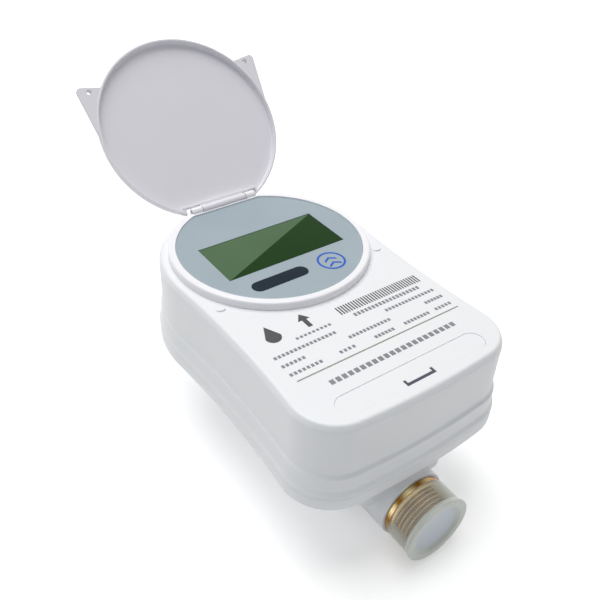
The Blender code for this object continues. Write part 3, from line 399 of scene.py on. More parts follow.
@dataclass(frozen=True)
class MilkyPlastic(Finish):
    """Translucent moulded polyethylene: a pale haze with the thread under it showing through.

    Attributes:
        haze: How opaque each face of the thin sleeve is, seen straight on.
        side_haze: What is added where it is seen along the wall, through more of it.
        end_haze: How opaque each face of the thicker end is.
        slants: The slants of view between which the side haze grows to its full strength.
        end: Where the end starts, in millimetres from the tube's middle.
        web: The radius of the thin web in the recessed end, in millimetres.
        web_colour: The web's cooler colour.
        blend: The width over which haze and web begin, in millimetres.
    """

    haze: float = 0.23
    side_haze: float = 0.65
    end_haze: float = 0.85
    slants: Point = (0.3, 0.95)
    end: float = 87.6
    web: float = 10.0
    web_colour: str = "ccd3dc"
    blend: float = 0.6

    def tint(self, tree: Tree, place: Socket) -> Socket:
        """Cool the haze's colour over the thin web.

        Args:
            tree: The material's nodes.
            place: The point on the cap.

        Returns:
            The colour's socket.
        """
        inside = add_node(tree, "ShaderNodeMapRange",
                          {"From Min": (self.web + self.blend) * MM, "From Max": self.web * MM},
                          {"Value": tube_radius(tree, place)})
        toned = add_node(tree, "ShaderNodeMix", {7: linear(self.web_colour)},
                         {0: inside.outputs["Result"], 6: super().tint(tree, place)},
                         data_type="RGBA")
        return toned.outputs[2]

    def dress(self, tree: Tree, shader: Node) -> None:
        """Let what lies behind show through, less at the thick end and along the sleeve's sides.

        Args:
            tree: The material's nodes.
            shader: Its Principled shader.
        """
        super().dress(tree, shader)
        place = add_node(tree, "ShaderNodeTexCoord").outputs["Object"]
        parts = add_node(tree, "ShaderNodeSeparateXYZ", None, {0: place})
        reach = add_node(tree, "ShaderNodeMath", None, {0: parts.outputs["Y"]}, operation="ABSOLUTE")
        haze = add_node(tree, "ShaderNodeMapRange",
                        {"From Min": self.end * MM, "From Max": (self.end + self.blend) * MM,
                         "To Min": self.haze, "To Max": self.end_haze},
                        {"Value": reach.outputs["Value"]})
        slant = add_node(tree, "ShaderNodeLayerWeight", {"Blend": 0.5})
        side = add_node(tree, "ShaderNodeMapRange",
                        {"From Min": self.slants[0], "From Max": self.slants[1],
                         "To Max": self.side_haze}, {"Value": slant.outputs["Facing"]})
        whole = add_node(tree, "ShaderNodeMath", None,
                         {0: haze.outputs["Result"], 1: side.outputs["Result"]}, operation="ADD",
                         use_clamp=True)
        tree.links.new(whole.outputs["Value"], shader.inputs["Alpha"])


@dataclass(frozen=True)
class DisplayGlass(Finish):
    """Polished glass over a reflective display: two greens that meet along a diagonal, the lighter one
    a painted reflection.

    Attributes:
        corner: The corner where the diagonal starts.
        run: How far the diagonal goes along X and Y.
        blend: Half the width over which the greens meet, in millimetres.
        drift: How far each green strays, as a share of its value.
    """

    corner: Place = (0.0, 0.0, 0.0)
    run: Point = (1.0, 1.0)
    blend: float = 0.15
    drift: float = 0.12

    def share(self, tree: Tree, place: Socket) -> Socket:
        """Give the second, darker green one half of the glass, up to the diagonal; the other half keeps
        the lighter green of the painted reflection.

        Args:
            tree: The material's nodes.
            place: The point on the glass.

        Returns:
            The share's socket.
        """
        shifted = add_node(tree, "ShaderNodeVectorMath", {1: self.corner}, {0: place},
                           operation="SUBTRACT")
        across = Vector((self.run[1], -self.run[0], 0.0)).normalized()
        side = add_node(tree, "ShaderNodeVectorMath", {1: across}, {0: shifted.outputs["Vector"]},
                        operation="DOT_PRODUCT")
        edge = add_node(tree, "ShaderNodeMapRange",
                        {"From Min": -self.blend * MM, "From Max": self.blend * MM},
                        {"Value": side.outputs["Value"]})
        return edge.outputs["Result"]

    def tint(self, tree: Tree, place: Socket) -> Socket:
        """Let both greens stray a little.

        Args:
            tree: The material's nodes.
            place: The point on the glass.

        Returns:
            The colour's socket.
        """
        cloud = add_node(tree, "ShaderNodeTexNoise", {"Scale": 1 / (self.patch * MM)},
                         {"Vector": place})
        stray = add_node(tree, "ShaderNodeMapRange",
                         {"To Min": 1 - self.drift, "To Max": 1 + self.drift},
                         {"Value": cloud.outputs["Fac"]})
        toned = add_node(tree, "ShaderNodeVectorMath", None,
                         {0: super().tint(tree, place), "Scale": stray.outputs["Result"]},
                         operation="SCALE")
        return toned.outputs["Vector"]


# Injection-moulded ABS from a spark-eroded tool: white and satin. The grain of all the plastics
# is drawn coarser than the mould's, so that it shows.
WHITE_ABS = Finish("moulded_white_abs", "f0f2f3", "edeef1", 0.42, grain=0.6, depth=0.006)
# The bezel's ABS, with more gloss from a polished tool; its whiter colour is painted light that
# brightens its shaded side wall.
BEZEL_ABS_PAINTED_LIGHT = Finish("moulded_glossy_abs_painted_light", "f9f8fb", "f5f4f8", 0.3, grain=1.2, depth=0.003)
# The lid's ABS, its inner face moulded against a finer tool; its darker, cooler colour is painted shade
# on the face turned from the light.
LID_ABS_PAINTED_SHADE = Finish("moulded_abs_painted_shade", "eae8ed", "e5e3e9", 0.46, grain=1.2, depth=0.0012)
# Polycarbonate window, printed blue-grey on its back: smooth, with a soft gloss.
GREY_FILM = Finish("printed_polycarbonate_film", "93a2ab", "a6b4bc", 0.3, grain=8.0, depth=0.001,
                   patch=38.0, ior=1.58, specular=0.4)
# Display glass over its rear polariser: a deep green, lighter on one side of a diagonal as a painted
# reflection; hardly a gloss of its own.
GREEN_GLASS_PAINTED_REFLECTION = DisplayGlass("display_glass_painted_reflection", "526e4e", "163a0d", 0.2, grain=4.0,
                           depth=0.0005, patch=40.0, ior=1.52, specular=0.06)
# Dark acrylic that only infrared passes: blue-black, with an anti-glare face.
DARK_ACRYLIC = Finish("dark_infrared_acrylic", "081623", "162b39", 0.2, grain=3.0, depth=0.001,
                      patch=9.0, ior=1.49, specular=0.12)
# Screen-printed inks, slightly raised and matt, in the four colours of the print.
BLUE_INK = Finish("blue_screen_ink", "2559be", "3168cb", 0.5, grain=0.4, depth=0.004, specular=0.2)
GREY_INK = Finish("grey_screen_ink", "85858a", "94949a", 0.55, grain=0.4, depth=0.004, specular=0.2)
DARK_INK = Finish("dark_screen_ink", "4b4a4c", "5b5a5c", 0.55, grain=0.4, depth=0.004, specular=0.2)
OLIVE_INK = Finish("olive_screen_ink", "8d8b7c", "9b998b", 0.55, grain=0.4, depth=0.004, specular=0.2)
# Brass turned and then polished, warm yellow; the dark and bright bands round the ring are a painted
# reflection.
POLISHED_BRASS_PAINTED_REFLECTION = BandedBrass("polished_brass_painted_reflection", "9c6a1f", "fdecb4", 0.2, depth=0.004, feed=0.9)
# Brass as it leaves the lathe, duller; painted highlights on the thread's crests and painted shade in
# its valleys.
TURNED_BRASS_PAINTED_CREST_LIGHT = ThreadedBrass("turned_brass_painted_crest_light", "a98f57", "ffe0a6", 0.32, depth=0.006, feed=0.5)
# Stainless steel bar, drawn bright.
BRIGHT_STEEL = TurnedMetal("drawn_stainless_steel", "b4b6ba", "c9cbce", 0.26, depth=0.004, feed=0.6,
                           axis=Axis.X)
# Low-density polyethylene cap: milky and waxy, with the brass thread showing brown through it.
MILKY_CAP = MilkyPlastic("moulded_translucent_polyethylene", "d6d9d1", "cbd0c9", 0.34, grain=1.2,
                         depth=0.006, patch=14.0, ior=1.51)
# A dark, matt fill in the latch's slot: painted shade, where the slot is in shadow.
SLOT_SHADE_FILL = Finish("dark_fill_painted_slot_shade", "4d4858", "5a5566", 0.6, grain=0.6, depth=0.01,
                    specular=0.3)
# Moulded EPDM, for the gasket and the seals: black, dull and a little rough.
BLACK_RUBBER = Finish("moulded_epdm_rubber", "1c1c1d", "262627", 0.7, grain=0.8, depth=0.02)
# Nylon filled with glass fibre: nearly black, with a satin, slightly uneven face.
BLACK_NYLON = Finish("moulded_glass_filled_nylon", "292a2c", "343538", 0.5, grain=0.5, depth=0.015)
# Glass-fibre laminate under a solder mask: deep green with a soft sheen.
GREEN_BOARD = Finish("solder_masked_laminate", "1d5733", "27663d", 0.4, grain=1.0, depth=0.01,
                     patch=6.0)
# A sleeve shrunk on to the lithium cell: mid blue and fairly glossy.
CELL_SLEEVE = Finish("shrink_sleeved_cell", "356bb0", "2f5f9f", 0.32, grain=2.5, depth=0.01)


def select_only(item: Item) -> None:
    """Leave one object selected and active, in object mode.

    Args:
        item: The object.
    """
    bpy.ops.object.select_all(action="DESELECT")
    bpy.context.view_layer.objects.active = item
    item.select_set(True)


@contextmanager
def editing(item: Item) -> Iterator[None]:
    """Open an object in edit mode, and close it again.

    Args:
        item: The object.

    Yields:
        Nothing, while the object is open.
    """
    select_only(item)
    bpy.ops.object.mode_set(mode="EDIT")
    try:
        yield
    finally:
        bpy.ops.object.mode_set(mode="OBJECT")


def tidy_surface(item: Item) -> Item:
    """Merge doubles, drop slivers and turn the faces outward.

    Args:
        item: The object.

    Returns:
        The same object.
    """
    with editing(item):
        bpy.ops.mesh.select_all(action="SELECT")
        bpy.ops.mesh.remove_doubles(threshold=SAME_POINT)
        bpy.ops.mesh.dissolve_degenerate(threshold=SLIVER)
        bpy.ops.mesh.select_all(action="SELECT")
        bpy.ops.mesh.normals_make_consistent(inside=False)
    return item


def apply_modifier(item: Item, kind: str, **settings: object) -> Item:
    """Add a modifier, set it and apply it.

    Args:
        item: The object.
        kind: The modifier's type.
        settings: The modifier's properties.

    Returns:
        The same object.
    """
    select_only(item)
    step = item.modifiers.new(kind.lower(), kind)
    for name, value in settings.items():
        setattr(step, name, value)
    bpy.ops.object.modifier_apply(modifier=step.name)
    return item


def combine(item: Item, tool: Item, work: Work = Work.CUT) -> None:
    """Cut or join with another object, which is used up.

    Args:
        item: The object that is shaped.
        tool: The object that shapes it.
        work: What the other object does.
    """
    apply_modifier(item, "BOOLEAN", operation=work.value, solver="EXACT", object=tool)
    bpy.data.objects.remove(tool, do_unlink=True)


def round_edges(item: Item, width: float, degrees: float = 60.0, segments: int = 3) -> Item:
    """Round every edge that is sharper than an angle.

    Args:
        item: The object.
        width: The bevel's width.
        degrees: The angle above which an edge is rounded.
        segments: Steps across the bevel.

    Returns:
        The same object.
    """
    return apply_modifier(item, "BEVEL", width=width, segments=segments, limit_method="ANGLE",
                          angle_limit=math.radians(degrees), harden_normals=False,
                          use_clamp_overlap=True)


def loft(name: str, outlines: Sequence[Sequence[Place]]) -> Item:
    """Extrude a filled loop through a row of outlines that have like points.

    Args:
        name: The object's name.
        outlines: Loops of points. The first and the last are closed by a face.

    Returns:
        The closed solid.
    """
    bpy.ops.object.select_all(action="DESELECT")
    bpy.ops.mesh.primitive_circle_add(vertices=len(outlines[0]), fill_type="NGON", location=(0, 0, 0))
    item = bpy.context.object
    item.name = item.data.name = name
    with editing(item):
        mesh = bmesh.from_edit_mesh(item.data)
        station = mesh.verts.layers.int.new("station")
        for number, vertex in enumerate(mesh.verts):
            vertex[station] = number
            vertex.co = outlines[0][number]
        bmesh.update_edit_mesh(item.data)
        for outline in outlines[1:]:
            bpy.ops.mesh.extrude_region_move(TRANSFORM_OT_translate={"value": (0.0, 0.0, 0.0)})
            mesh = bmesh.from_edit_mesh(item.data)
            station = mesh.verts.layers.int["station"]
            for vertex in mesh.verts:
                if vertex.select:
                    vertex.co = outline[vertex[station]]
            bmesh.update_edit_mesh(item.data)
    return tidy_surface(item)


def spin(name: str, profile: Sequence[Point], centre: Place, axis: Place,
         segments: int) -> Item:
    """Spin a closed profile of distance and height about an axis.

    Args:
        name: The object's name.
        profile: Points as (distance from the axis, place along it).
        centre: A point on the axis.
        axis: The axis, along X, Y or Z.
        segments: Steps round the circle.

    Returns:
        The solid of revolution.
    """
    along = Vector(axis)
    outward = Vector(Axis.X.value if along.z else Axis.Z.value)
    bpy.ops.object.select_all(action="DESELECT")
    bpy.ops.mesh.primitive_circle_add(vertices=len(profile), fill_type="NOTHING", location=(0, 0, 0))
    item = bpy.context.object
    item.name = item.data.name = name
    with editing(item):
        mesh = bmesh.from_edit_mesh(item.data)
        for vertex, (reach, height) in zip(list(mesh.verts), profile):
            vertex.co = Vector(centre) + outward * reach + along * height
        bmesh.update_edit_mesh(item.data)
        bpy.ops.mesh.select_all(action="SELECT")
        bpy.ops.mesh.spin(steps=segments, angle=2 * math.pi, center=centre, axis=axis)
    return tidy_surface(item)


def arc(centre: Point, radius: float, start: float, end: float, steps: int) -> Outline:
    """Points along an arc, both ends included.

    Args:
        centre: The arc's centre.
        radius: Its radius.
        start: The first angle, in radians.
        end: The last angle.
        steps: Steps between them.

    Returns:
        The points.
    """
    turns = [start + (end - start) * i / steps for i in range(steps + 1)]
    return [(centre[0] + radius * math.cos(a), centre[1] + radius * math.sin(a)) for a in turns]


def bend(first: Sequence[float], corner: Sequence[float], last: Sequence[float],
         steps: int) -> Outline:
    """Points along a soft bend, both ends included.

    Args:
        first: Where it starts.
        corner: The sharp corner that it stands for.
        last: Where it ends.
        steps: Steps between them.

    Returns:
        The points.
    """
    points: Outline = []
    for i in range(steps + 1):
        t = i / steps
        spots = (((1 - t) ** 2, first), (2 * t * (1 - t), corner), (t ** 2, last))
        points.append(tuple(sum(weight * spot[axis] for weight, spot in spots) for axis in (0, 1)))
    return points


def rounded_section(points: Sequence[Point], radius: float, steps: int = 4) -> Outline:
    """Round every corner of a closed section.

    Args:
        points: The section's corners.
        radius: The largest radius of a corner.
        steps: Steps round a corner.

    Returns:
        The section with round corners.
    """
    rounded: Outline = []
    for i, corner in enumerate(points):
        here = Vector(corner)
        before, after = Vector(points[i - 1]) - here, Vector(points[(i + 1) % len(points)]) - here
        reach = min(radius, CORNER_SHARE * before.length, CORNER_SHARE * after.length)
        first, last = here + before.normalized() * reach, here + after.normalized() * reach
        rounded += bend(first, here, last, steps)
    return rounded


def level(outline: Sequence[Point], height: float) -> list[Place]:
    """Lift a plan outline to a height."""
    return [(x, y, height) for x, y in outline]


def mirrored(points: Sequence[Point]) -> Outline:
    """The other half of an outline that is the same on both sides of X = 0."""
    return [(-x, y) for x, y in reversed(points)]


def rectangle(low: Sequence[float], high: Sequence[float], grow: float = 0.0) -> Outline:
    """A rectangle between two corners.

    Args:
        low: The corner with the lower values.
        high: The opposite corner.
        grow: How much is added on each side.

    Returns:
        The four corners.
    """
    left, near, right, far = low[0] - grow, low[1] - grow, high[0] + grow, high[1] + grow
    return [(left, near), (right, near), (right, far), (left, far)]


def stadium(centre: Point, length: float, width: float, steps: int = 14) -> Outline:
    """A slot's outline with round ends, its long side along X.

    Args:
        centre: The slot's middle.
        length: Its length over the ends.
        width: Its width.
        steps: Steps round each end.

    Returns:
        The outline.
    """
    half, radius = (length - width) / 2, width / 2
    right = arc((centre[0] + half, centre[1]), radius, -math.pi / 2, math.pi / 2, steps)
    left = arc((centre[0] - half, centre[1]), radius, math.pi / 2, 1.5 * math.pi, steps)
    return right + left


def plate(name: str, outline: Sequence[Point], low: float, high: float) -> Item:
    """Extrude a plan outline between two heights."""
    return loft(name, [level(outline, low), level(outline, high)])


def disc(name: str, centre: Place, axis: Place, radius: float, start: float, end: float,
         segments: int = SMALL_ROUND) -> Item:
    """A solid cylinder, used as a cutter or joined to a bigger piece.

    Args:
        name: The object's name.
        centre: A point on its axis.
        axis: The axis.
        radius: Its radius.
        start: Its lower end along the axis.
        end: Its upper end.
        segments: Steps round the circle.

    Returns:
        The cylinder.
    """
    return spin(name, rectangle((0.0, start), (radius, end)), centre, axis, segments)


def rod(name: str, centre: Place, half: float, radius: float, edge: float, segments: int) -> Item:
    """A rod along X with bevelled ends.

    Args:
        name: The object's name.
        centre: Its middle.
        half: Half its length.
        radius: Its radius.
        edge: The bevel's size.
        segments: Steps round the circle.

    Returns:
        The rod.
    """
    profile = [(0.0, -half), (radius - edge, -half), (radius, edge - half), (radius, half - edge),
               (radius - edge, half), (0.0, half)]
    return spin(name, profile, centre, Axis.X.value, segments)


def finish_piece(item: Item, finish: Finish, body: Body,
                 replaces: Sequence[str] = (), smooth_degrees: float = 32.0) -> None:
    """Shade a piece, give it its material and tie it to the frame.

    Args:
        item: The modelled piece.
        finish: Its material.
        body: The body that it rides on.
        replaces: The CAD nodes that it stands for.
        smooth_degrees: Edges sharper than this stay sharp.
    """
    select_only(item)
    bpy.ops.object.transform_apply(location=True, rotation=True, scale=True)
    bpy.ops.object.shade_smooth_by_angle(angle=math.radians(smooth_degrees))
    apply_modifier(item, "WEIGHTED_NORMAL", weight=60, keep_sharp=True)
    item.data.materials.clear()
    item.data.materials.append(finish.material())
    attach(item, body.value)
    if replaces:
        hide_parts(*replaces)
    LOG.info("%s: %d faces, on %s", item.name, len(item.data.polygons), body.value)


@dataclass
class Plan:
    """The housing's hourglass plan, made of tangent arcs.

    The rear arc is concentric with the display, the waist arcs are hollow, and the front is a
    shallow bow between two round corners.
    """

    length: float = 150.8 * MM
    rear_radius: float = 47.6 * MM
    front_half_width: float = 47.2 * MM
    corner_radius: float = 18.0 * MM
    waist_radius: float = 473.0 * MM
    bow_radius: float = 350.0 * MM
    steps: tuple[int, int, int, int] = (36, 14, 16, 8)

    @property
    def panel_y(self) -> float:
        """The display's centre along Y."""
        return self.length / 2 - self.rear_radius

    def waist_centre(self, corner: Point) -> Point:
        """The hollow arc's centre, tangent to the rear arc and to a front corner.

        Args:
            corner: The centre of the front corner's arc.

        Returns:
            The centre, on the side of +X.
        """
        rear = Vector((0.0, self.panel_y))
        span = Vector(corner) - rear
        first, second = self.rear_radius + self.waist_radius, self.corner_radius + self.waist_radius
        along = (first ** 2 - second ** 2 + span.length ** 2) / (2 * span.length)
        across = math.sqrt(first ** 2 - along ** 2)
        unit = span.normalized()
        base = rear + unit * along
        return max((base.x + s * unit.y * across, base.y - s * unit.x * across) for s in (-1, 1))

    def outline(self, grow: float = 0.0) -> Outline:
        """The plan, offset outward.

        Args:
            grow: The offset, negative inward.

        Returns:
            The closed outline.
        """
        rear = (0.0, self.panel_y)
        bow = (0.0, self.bow_radius - self.length / 2)
        corner_x = self.front_half_width - self.corner_radius
        reach = self.bow_radius - self.corner_radius
        corner = (corner_x, bow[1] - math.sqrt(reach ** 2 - corner_x ** 2))
        waist = self.waist_centre(corner)

        def towards(start: Point, end: Point) -> float:
            """The direction from one point to another."""
            return math.atan2(end[1] - start[1], end[0] - start[0])

        rear_steps, waist_steps, corner_steps, bow_steps = self.steps
        right = arc(rear, self.rear_radius + grow, math.pi / 2, towards(rear, waist), rear_steps)
        hollow = [towards(waist, point) % (2 * math.pi) for point in (rear, corner)]
        right += arc(waist, self.waist_radius - grow, *hollow, waist_steps)[1:]
        right += arc(corner, self.corner_radius + grow, towards(corner, waist), towards(bow, corner),
                     corner_steps)[1:]
        right += arc(bow, self.bow_radius + grow, towards(bow, corner), -math.pi / 2, bow_steps)[1:]
        return list(reversed(right + mirrored(right[1:-1])))

    def rings(self, pairs: Sequence[Point]) -> list[list[Place]]:
        """Outlines for a loft from pairs of offset and height."""
        return [level(self.outline(grow), height) for grow, height in pairs]


def quarter(radius: float, steps: int = 6) -> list[Point]:
    """Offset and drop of a quarter round, from its flat end to its upright end."""
    angles = [math.pi / 2 * i / steps for i in range(steps + 1)]
    return [(radius * math.sin(a) - radius, radius * math.cos(a) - radius) for a in angles]


def ease(low: Point, high: Point, steps: int = 6) -> list[Point]:
    """A soft step between two pairs of offset and height.

    Args:
        low: The first pair.
        high: The last pair.
        steps: Steps between them.

    Returns:
        The pairs, both ends included.
    """
    pairs = []
    for i in range(steps + 1):
        t = i / steps
        soft = t * t * (3 - 2 * t)
        pairs.append((low[0] + (high[0] - low[0]) * soft, low[1] + (high[1] - low[1]) * t))
    return pairs


def slanted_edge(run: float, drop: float, soft: float, steps: int = 5) -> Outline:
    """A slanting edge with two soft corners, from the deck down to the wall.

    Args:
        run: How far inside the wall the slope starts.
        drop: How far it falls.
        soft: How far each corner's curve reaches along both of its sides.
        steps: Steps round each corner.

    Returns:
        Pairs of offset and height, both counted from the sharp corner of deck and wall.
    """
    slope = Vector((run, -drop)).normalized() * soft
    bends = [((-run - soft, 0.0), (-run, 0.0), (slope.x - run, slope.y)),
             ((-slope.x, -drop - slope.y), (0.0, -drop), (0.0, -drop - soft))]
    return [pair for ends in bends for pair in bend(*ends, steps)]


@dataclass
class Housing:
    """The moulded cover and tray, with the belly round the tube and its collars.

    The base and the shoulder are the belly's rounded rectangles: half their width, half their
    length and the radius of their corners. The belly's end walls are end_wall times as thick.
    """

    plan: Plan = field(default_factory=Plan)
    skirt_z: float = 38.6 * MM
    split_z: float = 46.0 * MM
    ledge_z: float = 55.4 * MM
    deck_z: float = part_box("upper_housing")[1].z
    wall: float = 2.4 * MM
    edge_run: float = 1.3 * MM
    edge_drop: float = 2.4 * MM
    edge_soft: float = 0.9 * MM
    skirt_round: float = 3.0 * MM
    ledge_step: float = 1.1 * MM
    ledge_run: float = 1.6 * MM
    flare: float = 2.2 * MM
    flare_start: float = 3.4 * MM
    flare_edge: float = 0.9 * MM
    seam: float = 0.1 * MM
    seam_edge: float = 0.1 * MM
    tongue_rise: float = 2.2 * MM
    tongue_gap: float = 0.45 * MM
    tongue_sheet: float = 1.8 * MM
    tongue_root: float = 3.6 * MM
    rebate_spare: float = 1.8 * MM
    hole_radius: float = 41.5 * MM
    collar_radius: float = 15.2 * MM
    collar_bore: float = 13.52 * MM
    collar_reach: float = 75.4 * MM
    collar_root: float = 52.4 * MM
    collar_edge: float = 0.6 * MM
    collar_bow: float = 0.15 * MM
    base: Place = (16.0 * MM, 50.0 * MM, 6.0 * MM)
    shoulder: Place = (22.0 * MM, 70.0 * MM, 6.0 * MM)
    shoulder_z: float = 23.0 * MM
    base_edge: float = 1.2 * MM
    end_wall: float = 1.4
    belly_steps: int = 10
    seal_spot: Point = (39.2 * MM, 2.9 * MM)
    seal_radius: float = 2.1 * MM
    seal_rise: float = 0.15 * MM
    seal_degrees: float = 14.0
    screws: int = 4
    screw_depth: float = 3.8 * MM

    def build(self) -> None:
        """Build both halves."""
        self.cover()
        self.tray()

    def cover(self) -> None:
        """Build the upper housing: deck, slanting edge, wall and two soft ledges."""
        ceiling = self.deck_z - self.wall
        pairs = [(grow, self.deck_z + fall)
                 for grow, fall in slanted_edge(self.edge_run, self.edge_drop, self.edge_soft)]
        pairs += ease((0.0, self.ledge_z + self.ledge_run), (self.ledge_step, self.ledge_z))
        pairs += ease((self.ledge_step, self.split_z + self.flare_start),
                      (self.flare, self.split_z + self.flare_edge))
        foot = self.split_z + self.seam / 2
        pairs += [(self.flare, foot + self.seam_edge), (self.flare - self.seam_edge, foot),
                  (0.0, foot)]
        rebate = self.split_z + self.tongue_rise + self.rebate_spare
        pairs += [(0.0, rebate), (-self.wall, rebate), (-self.wall, ceiling)]
        shell = loft("housing_cover", self.plan.rings(pairs))
        centre = (0.0, self.plan.panel_y, 0.0)
        combine(shell, disc("hole", centre, Axis.Z.value, self.hole_radius, ceiling - self.wall,
                            self.deck_z + self.wall, WIDE_ROUND))
        for side in (-1, 1):
            self.add_seal_stud(shell, side)
        ServiceStrip(self.plan, self.deck_z).cut_pocket(shell)
        finish_piece(shell, WHITE_ABS, Body.METER, ["upper_housing"])

    def add_seal_stud(self, shell: Item, side: int) -> None:
        """Raise the low slanting stud under one of the lid's ears, highest at its front.

        Args:
            shell: The cover.
            side: The sign of X.
        """
        spot = (side * self.seal_spot[0], self.seal_spot[1], self.deck_z)
        stud = disc("stud", spot, Axis.Z.value, self.seal_radius, -self.wall / 2, self.seal_rise)
        select_only(stud)
        bpy.ops.transform.rotate(value=math.radians(self.seal_degrees), orient_axis="X",
                                 center_override=spot)
        combine(shell, stud, Work.WELD)

    def belly_rings(self, inset: float, top: float) -> list[list[Place]]:
        """Rounded rectangles of the belly, narrow at the base and wide at the shoulder.

        Args:
            inset: How far inside the skin the rings lie.
            top: The height of the last ring.

        Returns:
            The rings, from the base up.
        """
        def ring(half: Place, height: float, trim: float = 0.0) -> list[Place]:
            """One rounded rectangle.

            Args:
                half: Half its width, half its length and the radius of its corners.
                height: Its height.
                trim: How much smaller it is on every side.

            Returns:
                The ring.
            """
            x, y = half[0] - inset - trim, half[1] - self.end_wall * inset - trim
            radius = half[2] - inset / 2 - trim
            points: Outline = []
            for number, (sx, sy) in enumerate(((1, 1), (-1, 1), (-1, -1), (1, -1))):
                start = number * math.pi / 2
                points += arc((sx * (x - radius), sy * (y - radius)), radius, start,
                              start + math.pi / 2, self.belly_steps)
            return level(points, height)

        foot = [ring(self.base, inset)]
        if inset == 0.0:
            foot = [ring(self.base, -fall, -grow) for grow, fall in quarter(self.base_edge, steps=4)]
        return [*foot, ring(self.shoulder, self.shoulder_z), ring(self.shoulder, top)]

    def tray(self) -> None:
        """Build the lower housing: skirt, tongue, belly and collars, bored for the tube."""
        floor = self.skirt_z + self.wall
        seam = self.split_z - self.seam / 2
        outer, crest = -self.tongue_gap, self.split_z + self.tongue_rise
        inner = outer - self.tongue_sheet
        inside = self.flare - self.wall
        pairs = [(grow + self.flare, self.skirt_z - fall) for grow, fall in quarter(self.skirt_round)]
        pairs += [(self.flare, seam - self.seam_edge), (self.flare - self.seam_edge, seam),
                  (outer, seam), (outer, crest), (inner, crest), (inner, seam - self.wall),
                  (inside, seam - self.tongue_root), (inside, floor)]
        shell = loft("housing_tray", self.plan.rings(pairs))
        combine(shell, loft("belly", self.belly_rings(0.0, floor - self.wall / 2)), Work.WELD)
        for end in End:
            self.add_collar(shell, end)
        combine(shell, loft("hollow", self.belly_rings(self.wall, floor + self.wall)))
        reach = self.collar_reach + self.wall
        combine(shell, disc("bore", TUBE_CENTRE, Axis.Y.value, self.collar_bore, -reach, reach,
                            COLLAR_ROUND))
        for number in range(1, self.screws + 1):
            self.cut_counterbore(shell, number)
        finish_piece(shell, WHITE_ABS, Body.METER, ["lower_housing"])

    def add_collar(self, shell: Item, end: End) -> None:
        """Join one collar round the tube, with a soft edge at its mouth.

        Args:
            shell: The tray.
            end: The tube's end that it is at.
        """
        sign, radius = end.value, self.collar_radius
        mouth = sign * self.collar_reach
        profile = [(0.0, sign * self.collar_root), (radius, sign * self.collar_root),
                   (radius, mouth - sign * self.collar_edge),
                   (radius - self.collar_bow, mouth - sign * self.collar_bow),
                   (radius - self.collar_edge, mouth), (0.0, mouth)]
        combine(shell, spin("collar", profile, TUBE_CENTRE, Axis.Y.value, COLLAR_ROUND), Work.WELD)

    def cut_counterbore(self, shell: Item, number: int) -> None:
        """Cut the recess for a screw's head.

        Args:
            shell: The tray.
            number: The screw's number.
        """
        low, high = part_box(f"housing_screw_{number}")
        middle = (low + high) / 2
        radius = (high.x - low.x) / 2 + GAP
        spot, seat, skin = (middle.x, middle.y, 0.0), self.skirt_z + self.screw_depth, self.wall / 2
        combine(shell, disc("pad", spot, Axis.Z.value, radius + skin, self.skirt_z + skin, seat + skin,
                            SCREW_ROUND), Work.WELD)
        combine(shell, disc("counterbore", spot, Axis.Z.value, radius, self.skirt_z - self.wall, seat,
                            SCREW_ROUND))


